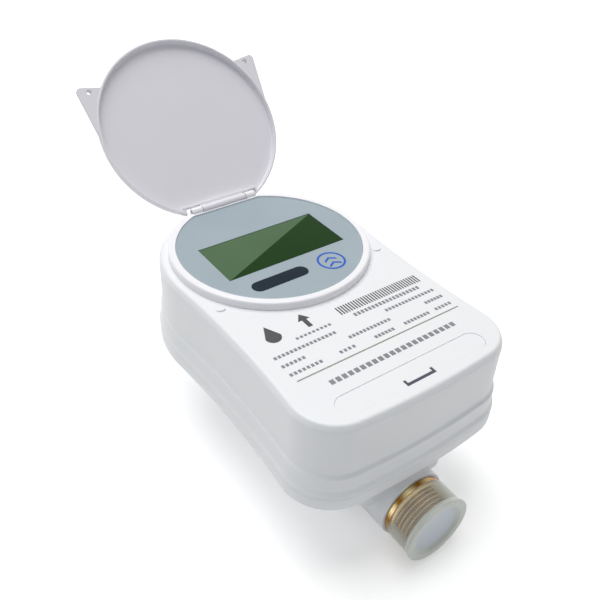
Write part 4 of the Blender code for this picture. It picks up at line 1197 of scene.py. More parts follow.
@dataclass
class ServiceStrip:
    """The flush cover at the front of the deck, its pocket and its latch tongue.

    Its crack is the fine line that is left between the strip and its seat.
    """

    plan: Plan
    deck_z: float
    length: float = 68.0 * MM
    width: float = 8.8 * MM
    sheet: float = 1.8 * MM
    from_front: float = 10.8 * MM
    shelf: float = 1.2 * MM
    depth: float = 8.5 * MM
    pocket_wall: float = 1.6 * MM
    latch_width: float = 13.6 * MM
    latch_length: float = 2.7 * MM
    slot: float = 1.1 * MM
    # How deep the dark fill of painted shade sits below the strip's top.
    shade_fill_drop: float = 0.3 * MM
    sink: float = 0.1 * MM
    crack: float = 0.075 * MM
    edge: float = 0.15 * MM
    catch_sheet: float = 0.9 * MM
    catch_drop: float = 1.2 * MM

    @property
    def middle(self) -> Point:
        """The strip's centre in plan."""
        return 0.0, self.from_front - self.plan.length / 2

    @property
    def top(self) -> float:
        """The strip's top, a hair below the deck."""
        return self.deck_z - self.sink

    def cut_pocket(self, shell: Item) -> None:
        """Sink the strip's seat and the pocket under it into the cover.

        Args:
            shell: The cover.
        """
        length, width = self.length + 2 * GAP, self.width + 2 * GAP
        floor = self.deck_z - self.depth
        well = stadium(self.middle, length + 2 * self.pocket_wall, width + 2 * self.pocket_wall)
        combine(shell, plate("well", well, floor - self.pocket_wall, self.deck_z - self.sheet / 2),
                Work.WELD)
        seat = stadium(self.middle, length, width)
        combine(shell, plate("seat", seat, self.top - self.sheet - GAP, self.deck_z + self.sheet))
        inner = stadium(self.middle, length - 2 * self.shelf, width - 2 * self.shelf)
        combine(shell, plate("inner", inner, floor, self.deck_z))

    def build(self) -> None:
        """Build the strip with its latch tongue and catch, and the dark fill of painted shade in its
        slot.
        """
        grow = 2 * (GAP - self.crack)
        outline = stadium(self.middle, self.length + grow, self.width + grow, steps=20)
        strip = plate("service_strip", outline, self.top - self.sheet, self.top)
        front, half = self.middle[1] - self.width / 2, self.latch_width / 2
        arm = [(half, front - self.slot), (half, front + self.latch_length),
               (half - self.slot, front + self.latch_length), (half - self.slot, front + self.slot)]
        notch = [*arm, *mirrored(arm)]
        combine(strip, plate("notch", notch, self.top - 2 * self.sheet, self.top + self.sheet))
        round_edges(strip, self.edge, 50.0, segments=2)
        self.latch_slot_shade(notch)
        near = front + self.shelf + self.catch_sheet
        catch = rectangle((-half / 2, near), (half / 2, near + self.catch_sheet))
        combine(strip, plate("catch", catch, self.top - self.sheet - self.catch_drop,
                             self.top - self.sheet / 2), Work.WELD)
        finish_piece(strip, WHITE_ABS, Body.COVER, ["service_cover"])

    def latch_slot_shade(self, notch: Sequence[Point]) -> None:
        """Fill the latch's slot with a dark piece, painted shade for the slot's shadow.

        Args:
            notch: The slot's outline.
        """
        shade_fill = plate("latch_slot_shade", notch, self.top - self.sheet + GAP, self.top - self.shade_fill_drop)
        finish_piece(shade_fill, SLOT_SHADE_FILL, Body.COVER)


@dataclass(frozen=True)
class PrintRow:
    """One printed row in plan, in millimetres: its ends along X, its middle along Y, its height."""

    start: float
    end: float
    middle: float
    height: float = 1.5


@dataclass
class DeckPrint:
    """The screen print on the deck, in millimetres: a rule, a scale, two signs and plain bars."""

    deck_z: float
    rule: PrintRow = PrintRow(-37.6, 40.0, -46.4, 0.55)
    scale: PrintRow = PrintRow(-2.0, 39.2, -23.4, 4.9)
    tick: float = 0.6
    tick_pitch: float = 1.25
    title: PrintRow = PrintRow(-28.5, 31.0, -53.2, 2.3)
    rows: tuple[PrintRow, ...] = (
        PrintRow(2.0, 35.4, -28.4, 1.9), PrintRow(14.0, 39.4, -32.9), PrintRow(-8.0, 12.0, -37.8),
        PrintRow(30.4, 39.6, -37.8), PrintRow(0.2, 9.6, -43.0), PrintRow(14.8, 27.6, -43.0),
        PrintRow(31.0, 39.2, -43.0), PrintRow(-25.0, -9.0, -27.8, 1.2), PrintRow(-38.0, -10.4, -32.6),
        PrintRow(-38.0, -28.0, -37.6), PrintRow(-38.0, -24.0, -42.6), PrintRow(-16.0, -9.0, -42.6),
    )
    row_dash: Point = (1.15, 1.75)
    title_dash: Point = (1.9, 2.8)
    drop: Point = (-31.5, -20.6)
    drop_radius: float = 3.3
    drop_height: float = 10.0
    arrow: Point = (-16.0, -20.6)
    arrow_half: Point = (1.0, 4.2)
    arrow_head: Point = (2.7, 3.8)

    def build(self) -> None:
        """Print every part of the layout."""
        bars = [self.bar(self.rule.start, self.rule.end, self.rule)]
        self.ink("print_rule", bars, OLIVE_INK)
        self.ink("print_scale", self.dashes(self.scale, self.tick, self.tick_pitch), DARK_INK)
        self.ink("print_title", self.dashes(self.title, *self.title_dash), GREY_INK)
        bars = [bar for row in self.rows for bar in self.dashes(row, *self.row_dash)]
        self.ink("print_rows", bars, GREY_INK)
        self.ink("print_drop", [self.drop_sign()], DARK_INK)
        self.ink("print_arrow", [self.arrow_sign()], DARK_INK)

    def bar(self, start: float, end: float, row: PrintRow) -> Item:
        """One bar of ink, a film's thickness above the deck.

        Args:
            start: Its left end, in millimetres.
            end: Its right end.
            row: The row that it belongs to.

        Returns:
            The bar.
        """
        low, high = row.middle - row.height / 2, row.middle + row.height / 2
        return self.film(rectangle((start, low), (end, high)))

    def film(self, outline: Sequence[Point]) -> Item:
        """A thin film of ink on the deck.

        Args:
            outline: Its outline in plan, in millimetres.

        Returns:
            The film.
        """
        base = self.deck_z + INK_FILM / 2
        return plate("ink", [(x * MM, y * MM) for x, y in outline], base, base + INK_FILM)

    def dashes(self, row: PrintRow, length: float, pitch: float) -> list[Item]:
        """Equal bars along a row.

        Args:
            row: The row.
            length: A bar's length, in millimetres.
            pitch: From one bar's start to the next.

        Returns:
            The bars.
        """
        count = max(1, round((row.end - row.start + pitch - length) / pitch))
        step = (row.end - row.start - length) / max(1, count - 1)
        starts = [row.start + i * step for i in range(count)]
        return [self.bar(start, start + length, row) for start in starts]

    def drop_sign(self) -> Item:
        """A plain water drop, point up.

        Returns:
            The drop.
        """
        x, y = self.drop
        middle = (x, y - self.drop_height / 2 + self.drop_radius)
        round_part = arc(middle, self.drop_radius, -math.pi, 0.0, steps=24)
        return self.film([*round_part, (x, y + self.drop_height / 2)])

    def arrow_sign(self) -> Item:
        """A plain arrow along the flow.

        Returns:
            The arrow.
        """
        x, y = self.arrow
        half, length = self.arrow_half
        head, neck = self.arrow_head[0], length - self.arrow_head[1]
        side = [(half, -length), (half, neck), (head, neck)]
        outline = [*side, (0.0, length), *mirrored(side)]
        return self.film([(x + along, y + up) for along, up in outline])

    def ink(self, name: str, films: Sequence[Item], finish: Finish) -> None:
        """Join films of ink to one piece and finish it.

        Args:
            name: The piece's name.
            films: The films.
            finish: The ink.
        """
        select_only(films[0])
        for film in films[1:]:
            film.select_set(True)
        if len(films) > 1:
            bpy.ops.object.join()
        films[0].name = films[0].data.name = name
        finish_piece(films[0], finish, Body.METER)


@dataclass
class DisplayWindow:
    """The white bezel, the printed window and what shows through it.

    Each lug edge is how far it reaches along the lug and how much it takes off the radius, first
    for the face at the barrel and then for the outer one.
    """

    plan: Plan
    deck_z: float
    panel_z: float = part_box("window_panel")[1].z
    panel_radius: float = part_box("window_panel")[1].x
    panel_sheet: float = 1.6 * MM
    panel_chord: float = 36.0 * MM
    bezel_radius: float = 43.4 * MM
    bezel_rise: float = 0.6 * MM
    bezel_round: float = 1.0 * MM
    bezel_lift: float = 0.06 * MM
    inner_edge: float = 0.25 * MM
    inner_bow: float = 0.07 * MM
    spigot_radius: float = 41.2 * MM
    spigot_inner: float = 38.6 * MM
    spigot_foot: float = 74.7 * MM
    barrel_radius: float = 1.9 * MM
    barrel_half: float = 11.4 * MM
    lug_width: float = 5.0 * MM
    lug_grow: float = 0.1 * MM
    lug_edges: tuple[Point, Point] = ((0.2 * MM, 0.15 * MM), (0.4 * MM, 0.35 * MM))
    lug_fit: float = 0.06 * MM
    trough_fit: float = 0.36 * MM
    pin_radius: float = 1.0 * MM
    pin_edge: float = 0.25 * MM
    hinge_setback: float = 39.1 * MM
    panel_grow: float = 0.24 * MM
    glass_grow: float = 0.2 * MM
    glass_edge: float = 0.15 * MM
    lens_edge: float = 0.3 * MM
    key: Point = (14.4 * MM, -25.0 * MM)
    port_trim: float = 1.4 * MM
    key_radius: float = 6.2 * MM
    key_stroke: float = 0.95 * MM
    chevron: Point = (2.9 * MM, 1.8 * MM)
    chevron_pitch: float = 3.6 * MM
    chevron_stroke: float = 1.14 * MM

    @property
    def bezel_z(self) -> float:
        """The bezel's top."""
        return self.panel_z + self.bezel_rise

    @property
    def hinge(self) -> Place:
        """A point on the hinge's axis, level with the bezel's top."""
        return (0.0, self.plan.panel_y + self.hinge_setback, self.bezel_z)

    def chord_circle(self, radius: float, chord: float, steps: int = WIDE_ROUND) -> Outline:
        """A circle about the display's centre, cut straight at the hinge side.

        Args:
            radius: The circle's radius.
            chord: The straight side's distance from the centre.
            steps: Steps round the arc.

        Returns:
            The outline.
        """
        start = math.asin(chord / radius)
        around = arc((0.0, self.plan.panel_y), radius, math.pi - start, 2 * math.pi + start, steps)
        half = radius * math.cos(start)
        flat = [(half - 2 * half * i / FLAT_STEPS, self.plan.panel_y + chord)
                for i in range(1, FLAT_STEPS)]
        return around + flat

    def build(self) -> None:
        """Build the bezel, the window, the display, the infrared lens, the key's sign and the pin."""
        self.bezel()
        self.window()
        self.display()
        self.infrared()
        self.key_sign()
        self.pin()

    def bezel(self) -> None:
        """Build the ring round the window, the land at its straight side and the hinge lugs."""
        seat, top = self.panel_z - self.panel_sheet - GAP, self.bezel_z
        window, shoulder = self.panel_radius + GAP, self.deck_z + self.bezel_lift
        edge = [(self.bezel_radius + grow, top + fall)
                for grow, fall in quarter(self.bezel_round, steps=8)]
        inside = [(window, top - self.inner_edge), (window + self.inner_bow, top - self.inner_bow),
                  (window + self.inner_edge, top)]
        profile = [*inside, *edge, (self.bezel_radius, shoulder), (self.spigot_radius, shoulder),
                   (self.spigot_radius, self.spigot_foot), (self.spigot_inner, self.spigot_foot),
                   (self.spigot_inner, seat), (window, seat)]
        ring = spin("display_ring", profile, (0.0, self.plan.panel_y, 0.0), Axis.Z.value, segments=160)
        radius = window + GAP
        turn = math.asin((self.panel_chord + GAP) / radius)
        land = arc((0.0, self.plan.panel_y), radius, turn, math.pi - turn, steps=24)
        combine(ring, plate("land", land, seat - 2 * GAP, top), Work.WELD)
        room = self.barrel_radius + GAP
        _, y, z = self.hinge
        half = self.barrel_half + self.trough_fit
        trough = rectangle((-half, y - room), (half, y + 2 * room + self.barrel_radius))
        combine(ring, plate("trough", trough, z - room, z + room))
        for side in (-1, 1):
            combine(ring, self.lug(side), Work.WELD)
        reach = self.bezel_radius / 2
        combine(ring, disc("pin_hole", self.hinge, Axis.X.value, self.pin_radius + self.lug_fit, -reach,
                           reach))
        # The bezel's whiter ABS is painted light.
        finish_piece(ring, BEZEL_ABS_PAINTED_LIGHT, Body.METER, ["display_bezel"])

    def lug(self, side: int) -> Item:
        """One hinge lug: a round eye on a straight root.

        Args:
            side: The sign of X.

        Returns:
            The lug.
        """
        _, y, z = self.hinge
        radius = self.barrel_radius + self.lug_grow
        inner = self.barrel_half + GAP
        outer = inner + self.lug_width
        section = arc((y, z), radius, 0.0, math.pi, steps=20)
        section += [(y - radius, self.deck_z + 2 * GAP), (y + radius, self.deck_z + 2 * GAP)]
        (near, near_trim), (far, far_trim) = self.lug_edges
        rows = []
        for along, trim in ((inner, near_trim), (inner + near, 0.0), (outer - far, 0.0),
                            (outer, far_trim)):
            scale = 1 - trim / radius
            rows.append([(side * along, y + (v - y) * scale, z + (w - z) * scale if w > z else w)
                         for v, w in section])
        return loft("lug", rows)

    def port(self, shrink: float, steps: int = 14) -> Outline:
        """The infrared port's outline, with round ends.

        Args:
            shrink: How much shorter and narrower it is than the window's opening.
            steps: Steps round each end.

        Returns:
            The outline.
        """
        low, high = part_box("infrared_window")
        middle = ((low.x + high.x) / 2, (low.y + high.y) / 2)
        length, width = high.x - low.x - self.port_trim, high.y - low.y + GAP
        return stadium(middle, length - shrink, width - shrink, steps)

    def window(self) -> None:
        """Build the printed window, open over the display and the infrared port."""
        outline = self.chord_circle(self.panel_radius + self.panel_grow,
                                    self.panel_chord + self.panel_grow)
        sheet = plate("display_window", outline, self.panel_z - self.panel_sheet, self.panel_z)
        low, high = self.panel_z - 2 * self.panel_sheet, self.panel_z + self.panel_sheet
        opening = rectangle(*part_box("lcd_module"), GAP)
        combine(sheet, plate("opening", opening, low, high))
        combine(sheet, plate("port", self.port(0.0), low, high))
        finish_piece(sheet, GREY_FILM, Body.METER, ["window_panel"])

    def display(self) -> None:
        """Build the display's glass, a little below the window's face, with bevelled edges."""
        low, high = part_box("lcd_module")
        glass = plate("display_glass", rectangle(low, high, self.glass_grow), low.z, high.z)
        round_edges(glass, self.glass_edge, segments=2)
        # The lighter green on one side of the diagonal is a painted reflection.
        finish = replace(GREEN_GLASS_PAINTED_REFLECTION, corner=tuple(low), run=(high.x - low.x, high.y - low.y))
        finish_piece(glass, finish, Body.METER, ["lcd_module"])

    def infrared(self) -> None:
        """Build the dark lens of the infrared port."""
        low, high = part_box("infrared_window")
        lens = plate("infrared_lens", self.port(GAP / 2, steps=20), low.z, high.z)
        round_edges(lens, self.lens_edge)
        finish_piece(lens, DARK_ACRYLIC, Body.METER, ["infrared_window"])

    def key_sign(self) -> None:
        """Build the touch key's printed sign: a ring round two pairs of strokes."""
        x, y = self.key[0], self.plan.panel_y + self.key[1]
        base = self.panel_z + INK_FILM / 2
        profile = rectangle((self.key_radius - self.key_stroke, 0.0), (self.key_radius, INK_FILM))
        sign = spin("key_sign", profile, (x, y, base), Axis.Z.value, segments=64)
        half, rise = self.chevron
        for row in (-1, 1):
            foot = y + row * self.chevron_pitch / 2 - rise / 2
            outer = [(x - half, foot), (x, foot + rise), (x + half, foot)]
            inner = [(along, up - self.chevron_stroke) for along, up in reversed(outer)]
            combine(sign, plate("stroke", [*outer, *inner], base, base + INK_FILM), Work.WELD)
        finish_piece(sign, BLUE_INK, Body.METER)

    def pin(self) -> None:
        """Build the hinge pin."""
        low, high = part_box("hinge_pin")
        pin = rod("lid_pin", self.hinge, (high.x - low.x) / 2, self.pin_radius, self.pin_edge,
                  SCREW_ROUND)
        finish_piece(pin, BRIGHT_STEEL, Body.METER, ["hinge_pin"])


@dataclass
class Lid:
    """The round flip lid: a shallow dish with two sealing ears and a hinge barrel.

    The ears' points are counted from the display's centre, with the lid shut.
    """

    window: DisplayWindow
    radius: float = 43.4 * MM
    height: float = 4.0 * MM
    sheet: float = 1.8 * MM
    roof: float = 1.0 * MM
    wall: float = 1.1 * MM
    edge: float = 1.2 * MM
    rim_edge: float = 0.35 * MM
    rim_bow: float = 0.1 * MM
    inner_edge: float = 0.25 * MM
    corner_reach: float = 0.8 * MM
    corner_bow: float = 0.23 * MM
    open_degrees: float = 134.0
    ear_foot: Point = (34.5 * MM, -26.2 * MM)
    ear_tip: Point = (45.6 * MM, -28.2 * MM)
    ear_shoulder: Point = (43.1 * MM, -3.0 * MM)
    ear_roots: Point = (3.0 * MM, 4.0 * MM)
    ear_edge: float = 0.25 * MM
    ear_sheet: float = 1.5 * MM
    ear_nose: float = 2.1 * MM
    hole: Point = (40.2 * MM, -25.4 * MM)
    hole_radius: float = 1.2 * MM
    eyelet_radius: float = 2.3 * MM
    eyelet_rise: float = 1.5 * MM
    notch_half: float = 18.4 * MM
    tongue_reach: float = 1.2 * MM
    tongue_sheet: float = 1.5 * MM
    barrel_edge: float = 0.2 * MM
    pin_fit: float = 0.12 * MM

    def outline(self, inset: float) -> Outline:
        """A circle with a straight-sided notch for the hinge.

        Args:
            inset: How far inside the lid's edge it lies.

        Returns:
            The outline.
        """
        radius, side = self.radius - inset, self.notch_half + inset
        middle = self.window.plan.panel_y
        start = math.acos(side / radius)
        around = arc((0.0, middle), radius, math.pi - start, 2 * math.pi + start, steps=100)
        chord = self.window.hinge_setback - self.window.barrel_radius - 2 * GAP - inset
        flat = [(side - 2 * side * i / FLAT_STEPS, middle + chord) for i in range(FLAT_STEPS + 1)]
        return around + flat

    def rings(self, pairs: Sequence[Point]) -> list[list[Place]]:
        """Outlines of the dish from pairs of inset and height."""
        return [level(self.outline(inset), height) for inset, height in pairs]

    def build(self) -> None:
        """Build the lid in its shut place and turn it open about the pin."""
        low = self.window.bezel_z + GAP
        top = low + self.height
        skin = [(-grow, top + fall) for grow, fall in quarter(self.edge)]
        skin += [(0.0, low + self.rim_edge), (self.rim_bow, low + self.rim_bow), (self.rim_edge, low)]
        lid = loft("flip_lid", self.rings(skin))
        for side in (-1, 1):
            combine(lid, self.ear(side, low), Work.WELD)
        combine(lid, loft("hollow", self.rings(self.hollow(low, top - self.roof))))
        for side in (-1, 1):
            self.pierce_ear(lid, side, low)
        self.add_barrel(lid)
        self.swing_open(lid)
        # The lid's darker, cooler ABS is painted shade.
        finish_piece(lid, LID_ABS_PAINTED_SHADE, Body.LID, ["lid"])

    def hollow(self, low: float, ceiling: float) -> list[Point]:
        """The dish's inside, from its ceiling down and out at the rim.

        Args:
            low: The lid's underside.
            ceiling: The height of the dish's ceiling.

        Returns:
            Pairs of inset and height.
        """
        wall, mouth = self.wall, self.wall - self.inner_edge
        return [(wall + self.corner_reach, ceiling),
                (wall + self.corner_bow, ceiling - self.corner_bow),
                (wall, ceiling - self.corner_reach), (wall, low + self.rim_edge), (mouth, low),
                (mouth, low - self.sheet)]

    def pierce_ear(self, lid: Item, side: int, low: float) -> None:
        """Put the eyelet behind an ear, and the hole for the seal's wire through both.

        Args:
            lid: The dish.
            side: The sign of X.
            low: The lid's underside.
        """
        spot = (side * self.hole[0], self.window.plan.panel_y + self.hole[1], low)
        combine(lid, disc("eyelet", spot, Axis.Z.value, self.eyelet_radius, self.ear_sheet,
                          GAP + self.ear_sheet + self.eyelet_rise), Work.WELD)
        combine(lid, disc("ear_hole", spot, Axis.Z.value, self.hole_radius, -self.sheet,
                          2 * self.height, SCREW_ROUND))

    def ear(self, side: int, low: float) -> Item:
        """One triangular ear with a round nose and soft edges.

        Args:
            side: The sign of X.
            low: The lid's underside.

        Returns:
            The ear.
        """
        nose = (self.ear_tip[0] - self.ear_nose, self.ear_tip[1] + self.ear_nose)
        points = [(self.ear_foot[0] - self.ear_roots[0], self.ear_foot[1])]
        points += arc(nose, self.ear_nose, -math.pi / 2, 0.0, steps=8)
        points += [self.ear_shoulder,
                   (self.ear_shoulder[0] - self.ear_roots[1], self.ear_shoulder[1])]
        outline = [(side * x, self.window.plan.panel_y + y) for x, y in points]
        ear = plate("ear", outline, low + GAP, low + GAP + self.ear_sheet)
        return round_edges(ear, self.ear_edge)

    def add_barrel(self, lid: Item) -> None:
        """Join the hinge barrel and its tongue to the lid, and bore them.

        Args:
            lid: The dish.
        """
        half, radius = self.window.barrel_half, self.window.barrel_radius
        _, y, z = self.window.hinge
        low = z + GAP
        section = rectangle((y - radius - self.tongue_reach, low), (y, low + self.tongue_sheet))
        rows = [[(side * half, along, height) for along, height in section] for side in (-1, 1)]
        combine(lid, loft("tongue", rows), Work.WELD)
        barrel = rod("barrel", self.window.hinge, half, radius, self.barrel_edge, SMALL_ROUND)
        combine(lid, barrel, Work.WELD)
        bore = self.window.pin_radius + self.pin_fit
        combine(lid, disc("pin_hole", self.window.hinge, Axis.X.value, bore, -half - GAP, half + GAP))

    def swing_open(self, lid: Item) -> None:
        """Turn the lid's mesh about the pin, to where it rests open.

        Args:
            lid: The lid.
        """
        hinge = Vector(self.window.hinge)
        turn = Matrix.Rotation(math.radians(-self.open_degrees), 4, "X")
        lid.data.transform(Matrix.Translation(hinge) @ turn @ Matrix.Translation(-hinge))


@dataclass
class PipeEnd:
    """The retaining ring and the push-on thread cap at one end of the tube."""

    end: End
    ring_start: float = 75.7 * MM
    ring_length: float = 1.9 * MM
    ring_radius: float = 14.0 * MM
    ring_edge: float = 0.4 * MM
    bore: float = 13.52 * MM
    cap_bore: float = 13.58 * MM
    cap_sleeve: float = 0.9 * MM
    cap_start: float = 77.9 * MM
    tube_end: float = 87.5 * MM
    cap_end: float = 1.1 * MM
    cap_recess: float = 1.5 * MM
    recess_radius: float = 10.5 * MM
    rim_radius: float = 15.2 * MM
    rim_width: float = 1.1 * MM
    rim_fall: float = 0.55 * MM
    rim_bow: float = 0.1 * MM
    rim_heel: float = 0.15 * MM
    flare_foot: float = 0.3 * MM
    flare_steps: int = 5
    soft: float = 0.35 * MM

    @property
    def name(self) -> str:
        """The end's name in the nodes' names."""
        return self.end.name.lower()

    @property
    def axis(self) -> Place:
        """The tube's axis, pointing outward at this end."""
        return (0.0, float(self.end.value), 0.0)

    def build(self) -> None:
        """Build the ring and the cap."""
        section = rectangle((self.bore, self.ring_start),
                            (self.ring_radius, self.ring_start + self.ring_length))
        ring = spin(f"brass_ring_{self.name}", rounded_section(section, self.ring_edge), TUBE_CENTRE,
                    self.axis, WIDE_ROUND)
        # The ring's dark and bright bands are a painted reflection.
        finish_piece(ring, POLISHED_BRASS_PAINTED_REFLECTION, Body.METER,
                     [f"retaining_ring_{self.name}"])
        body = Body.FRONT_CAP if self.end is End.FRONT else Body.REAR_CAP
        cap = spin(f"cap_{self.name}", self.cap_profile(), TUBE_CENTRE, self.axis, WIDE_ROUND)
        finish_piece(cap, MILKY_CAP, body, [f"thread_cap_{self.name}"])

    def cap_profile(self) -> Outline:
        """The cap's section: a thin sleeve, a recessed end and a flared rim with soft edges.

        Returns:
            The closed section, from the axis round and back.
        """
        inner = self.tube_end + GAP
        outer = inner + self.cap_end
        front = outer + self.cap_recess
        back = front - self.rim_width
        soft, recess, rim = self.soft, self.recess_radius, self.rim_radius
        section = [(0.0, outer), (recess - 2 * soft, outer), (recess, outer + soft),
                   (recess + 2 * soft, front - 2 * soft), (recess + 4 * soft, front - soft / 2),
                   (recess + 6 * soft, front), (rim - soft, front),
                   (rim - self.rim_bow, front - self.rim_bow), (rim, front - soft),
                   (rim, back + soft / 2), (rim - self.rim_heel, back)]
        bore, sleeve = self.cap_bore, self.cap_bore + self.cap_sleeve
        flare = rim - self.flare_foot - sleeve
        for step in range(1, self.flare_steps + 1):
            t = step / self.flare_steps
            section.append((sleeve + flare * (1 - t) ** 2, back - t * 2 * self.rim_fall))
        section += [(sleeve, back - 3 * self.rim_fall), (sleeve, self.cap_start + soft),
                    (sleeve - soft / 2, self.cap_start), (bore + soft / 3, self.cap_start),
                    (bore, self.cap_start + soft / 2), (bore, inner), (0.0, inner)]
        return section


@dataclass
class FlowTube:
    """The turned brass tube with a true helical thread at both ends.

    One turn of the thread is a zigzag made steeper by flank and lowered by crest_share, which
    leaves a flat crest and a flat valley.
    """

    half_length: float = 87.5 * MM
    crest: float = 13.22 * MM
    thread_depth: float = 1.16 * MM
    pitch: float = 1.814 * MM
    thread_reach: float = 9.4 * MM
    body_radius: float = 13.0 * MM
    bore: float = 9.0 * MM
    chamfer: float = 0.6 * MM
    land_end: float = 70.6 * MM
    flank: float = 1.25
    crest_share: float = 0.12
    pitch_steps: int = 8

    def build(self) -> None:
        """Spin the tube's section and cut the thread into it."""
        end, thread_low = self.half_length, self.half_length - self.thread_reach
        fine = self.pitch / self.pitch_steps
        half = [(self.body_radius, self.land_end), (self.crest, self.land_end + GAP)]
        half += [(self.crest, thread_low + i * fine) for i in range(int(self.thread_reach / fine))]
        half += [(self.crest, end - GAP), (self.crest - self.thread_depth, end)]
        far = [(reach, -along) for reach, along in reversed(half)]
        inner = [(self.bore + self.chamfer, end), (self.bore, end - self.chamfer),
                 (self.bore, self.chamfer - end), (self.bore + self.chamfer, -end)]
        tube = spin("brass_tube", [*far, *half, *inner], TUBE_CENTRE, Axis.Y.value, WIDE_ROUND)
        self.cut_thread(tube, thread_low)
        # The thread's bright crests and dull valleys are painted highlight and painted shade.
        finish_piece(tube, TURNED_BRASS_PAINTED_CREST_LIGHT, Body.METER, ["flow_tube"],
                     smooth_degrees=60.0)

    def cut_thread(self, tube: Item, thread_low: float) -> None:
        """Sink the valleys of a helix into the smooth ends, fading out at both ends of the thread.

        Args:
            tube: The spun tube.
            thread_low: Where the thread starts, along Y.
        """
        for vertex in tube.data.vertices:
            x, y, z = vertex.co.x, vertex.co.y, vertex.co.z - AXIS_HEIGHT
            reach = math.hypot(x, z)
            if abs(y) <= thread_low or reach < self.body_radius - self.thread_depth / 2:
                continue
            turn = math.atan2(z, x) / (2 * math.pi)
            valley = abs(2 * ((y / self.pitch - turn) % 1.0) - 1)
            depth = max(0.0, min(1.0, self.flank * valley - self.crest_share))
            fade = min(1.0, (abs(y) - thread_low) / self.pitch,
                       (self.half_length - abs(y)) / (2 * GAP))
            wanted = min(reach, self.crest - self.thread_depth * depth * max(0.0, fade))
            vertex.co.x, vertex.co.z = x * wanted / reach, AXIS_HEIGHT + z * wanted / reach


@dataclass
class InnerParts:
    """The CAD nodes that stay as they are, and get their finishes."""

    finishes: dict[str, Finish] = field(default_factory=lambda: {
        "antenna": GREEN_BOARD, "battery_cell": CELL_SLEEVE, "battery_cradle": BLACK_NYLON,
        "circuit_board": GREEN_BOARD, "clamp_screw": BRIGHT_STEEL, "display_carrier": BLACK_NYLON,
        "housing_gasket": BLACK_RUBBER, "housing_screw": BRIGHT_STEEL, "inlet_strainer": BLACK_NYLON,
        "key_spring": BRIGHT_STEEL, "measuring_insert": BLACK_NYLON, "reflector": BRIGHT_STEEL,
        "service_socket": BLACK_NYLON, "transducer": BRIGHT_STEEL, "transducer_clamp": BRIGHT_STEEL,
        "transducer_seal": BLACK_RUBBER,
    })

    def dress(self) -> None:
        """Give every node that is still shown the finish of its kind."""
        for name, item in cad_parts.items():
            if item.hide_render:
                continue
            kind = max((key for key in self.finishes if name.startswith(key)), key=len)
            item.data.materials.clear()
            item.data.materials.append(self.finishes[kind].material())
            LOG.info("%s keeps its CAD shape", name)


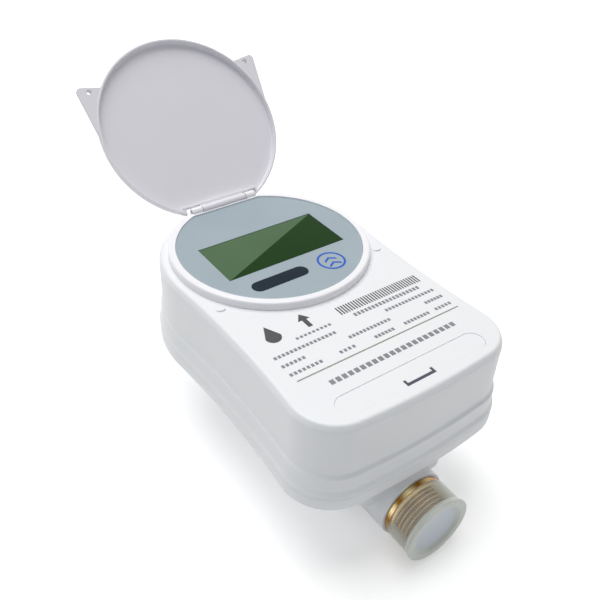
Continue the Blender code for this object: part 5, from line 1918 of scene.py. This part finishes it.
@dataclass
class Studio:
    """The floor, the light and the camera of the photograph.

    The sky's light is weaker and bluer on its dim side, from dim_from on of the way towards it.
    """

    camera_place: Place = (-0.14448, -0.18904, 0.25260)
    camera_target: Place = (-0.0124, -0.01232, 0.0834)
    roll_degrees: float = 2.43
    lens: float = 42.97
    clip: Point = (0.01, 20.0)
    floor_half: float = 1.3
    floor_colour: str = "f4f4f4"
    floor_roughness: float = 0.9
    floor_lift: float = 0.36
    lamp_place: Place = (-0.1, 0.62, 2.2)
    lamp_size: float = 2.0
    lamp_power: float = 39.0
    lamp_target: Place = (0.0, 0.0, 0.05)
    sky_strength: float = 0.372
    dim_side: Place = (-0.7, -0.71, 0.0)
    dim_from: float = 0.45
    dim_colour: str = "acbbc8"

    def build(self) -> None:
        """Build the floor, the light and the camera."""
        self.floor()
        self.sky()
        self.lamp()
        self.camera()

    def seen_or_mirrored(self, tree: Tree) -> Socket:
        """One where the camera looks, directly, in a reflection or through glass.

        Args:
            tree: The nodes that ask.

        Returns:
            The socket, zero for the light that falls on the object.
        """
        rays = add_node(tree, "ShaderNodeLightPath").outputs
        seen = add_node(tree, "ShaderNodeMath", None,
                        {0: rays["Is Camera Ray"], 1: rays["Is Glossy Ray"]}, operation="MAXIMUM")
        both = add_node(tree, "ShaderNodeMath", None,
                        {0: seen.outputs["Value"], 1: rays["Is Transmission Ray"]}, operation="MAXIMUM")
        return both.outputs["Value"]

    def floor(self) -> None:
        """A plain pale floor, lifted to white where the camera looks, that keeps the shadow."""
        bpy.ops.object.select_all(action="DESELECT")
        bpy.ops.mesh.primitive_plane_add(size=2 * self.floor_half, location=(0, 0, 0))
        plane = bpy.context.object
        plane.name = "studio_floor"
        material = bpy.data.materials.new("matt_white_paper")
        material.use_nodes = True
        tree = material.node_tree
        shader = tree.nodes["Principled BSDF"]
        shader.inputs["Base Color"].default_value = linear(self.floor_colour)
        shader.inputs["Roughness"].default_value = self.floor_roughness
        shader.inputs["Emission Color"].default_value = WHITE_LIGHT
        lift = add_node(tree, "ShaderNodeMath", {1: self.floor_lift}, {0: self.seen_or_mirrored(tree)},
                        operation="MULTIPLY")
        tree.links.new(lift.outputs["Value"], shader.inputs["Emission Strength"])
        plane.data.materials.append(material)

    def sky(self) -> None:
        """A pale sky, weaker and bluer on its dim side, but white to the camera and in reflections."""
        world = bpy.data.worlds.new("soft_sky")
        bpy.context.scene.world = world
        world.use_nodes = True
        tree = world.node_tree
        white = self.seen_or_mirrored(tree)
        strength = add_node(tree, "ShaderNodeMapRange", {"To Min": self.sky_strength, "To Max": 1.0},
                            {"Value": white})
        direction = add_node(tree, "ShaderNodeTexCoord").outputs["Generated"]
        facing = add_node(tree, "ShaderNodeVectorMath", {1: self.dim_side}, {0: direction},
                          operation="DOT_PRODUCT")
        dim = add_node(tree, "ShaderNodeMapRange", {"From Min": self.dim_from},
                       {"Value": facing.outputs["Value"]})
        unseen = add_node(tree, "ShaderNodeMath", {0: 1.0}, {1: white}, operation="SUBTRACT")
        share = add_node(tree, "ShaderNodeMath", None,
                         {0: dim.outputs["Result"], 1: unseen.outputs["Value"]}, operation="MULTIPLY")
        tint = add_node(tree, "ShaderNodeMix", {6: WHITE_LIGHT, 7: linear(self.dim_colour)},
                        {0: share.outputs["Value"]}, data_type="RGBA")
        back = tree.nodes["Background"]
        tree.links.new(tint.outputs[2], back.inputs["Color"])
        tree.links.new(strength.outputs["Result"], back.inputs["Strength"])

    def lamp(self) -> None:
        """One large soft lamp overhead."""
        bpy.ops.object.light_add(type="AREA", location=self.lamp_place)
        lamp = bpy.context.object
        lamp.name = "overhead_lamp"
        lamp.data.shape = "DISK"
        lamp.data.size = self.lamp_size
        lamp.data.energy = self.lamp_power
        aim = Vector(self.lamp_target) - lamp.location
        lamp.rotation_euler = aim.to_track_quat("-Z", "Y").to_euler()

    def camera(self) -> None:
        """The camera at the photograph's place, with its slight roll."""
        bpy.ops.object.camera_add(location=self.camera_place)
        camera = bpy.context.object
        camera.name = "photo_camera"
        camera.data.lens = self.lens
        camera.data.clip_start, camera.data.clip_end = self.clip
        aim = Vector(self.camera_target) - Vector(self.camera_place)
        turn = aim.to_track_quat("-Z", "Y").to_matrix()
        roll = Matrix.Rotation(math.radians(self.roll_degrees), 3, "Z")
        camera.rotation_euler = (turn @ roll).to_euler()
        bpy.context.scene.camera = camera
        bpy.context.scene.view_settings.view_transform = "Standard"


def main() -> None:
    """Build every sub-assembly in order."""
    logging.basicConfig(level=logging.INFO, format="%(name)s: %(message)s")
    housing = Housing()
    housing.build()
    ServiceStrip(housing.plan, housing.deck_z).build()
    DeckPrint(housing.deck_z).build()
    window = DisplayWindow(housing.plan, housing.deck_z)
    window.build()
    Lid(window).build()
    for end in End:
        PipeEnd(end).build()
    FlowTube().build()
    InnerParts().dress()
    Studio().build()


if __name__ == "__main__":
    main()
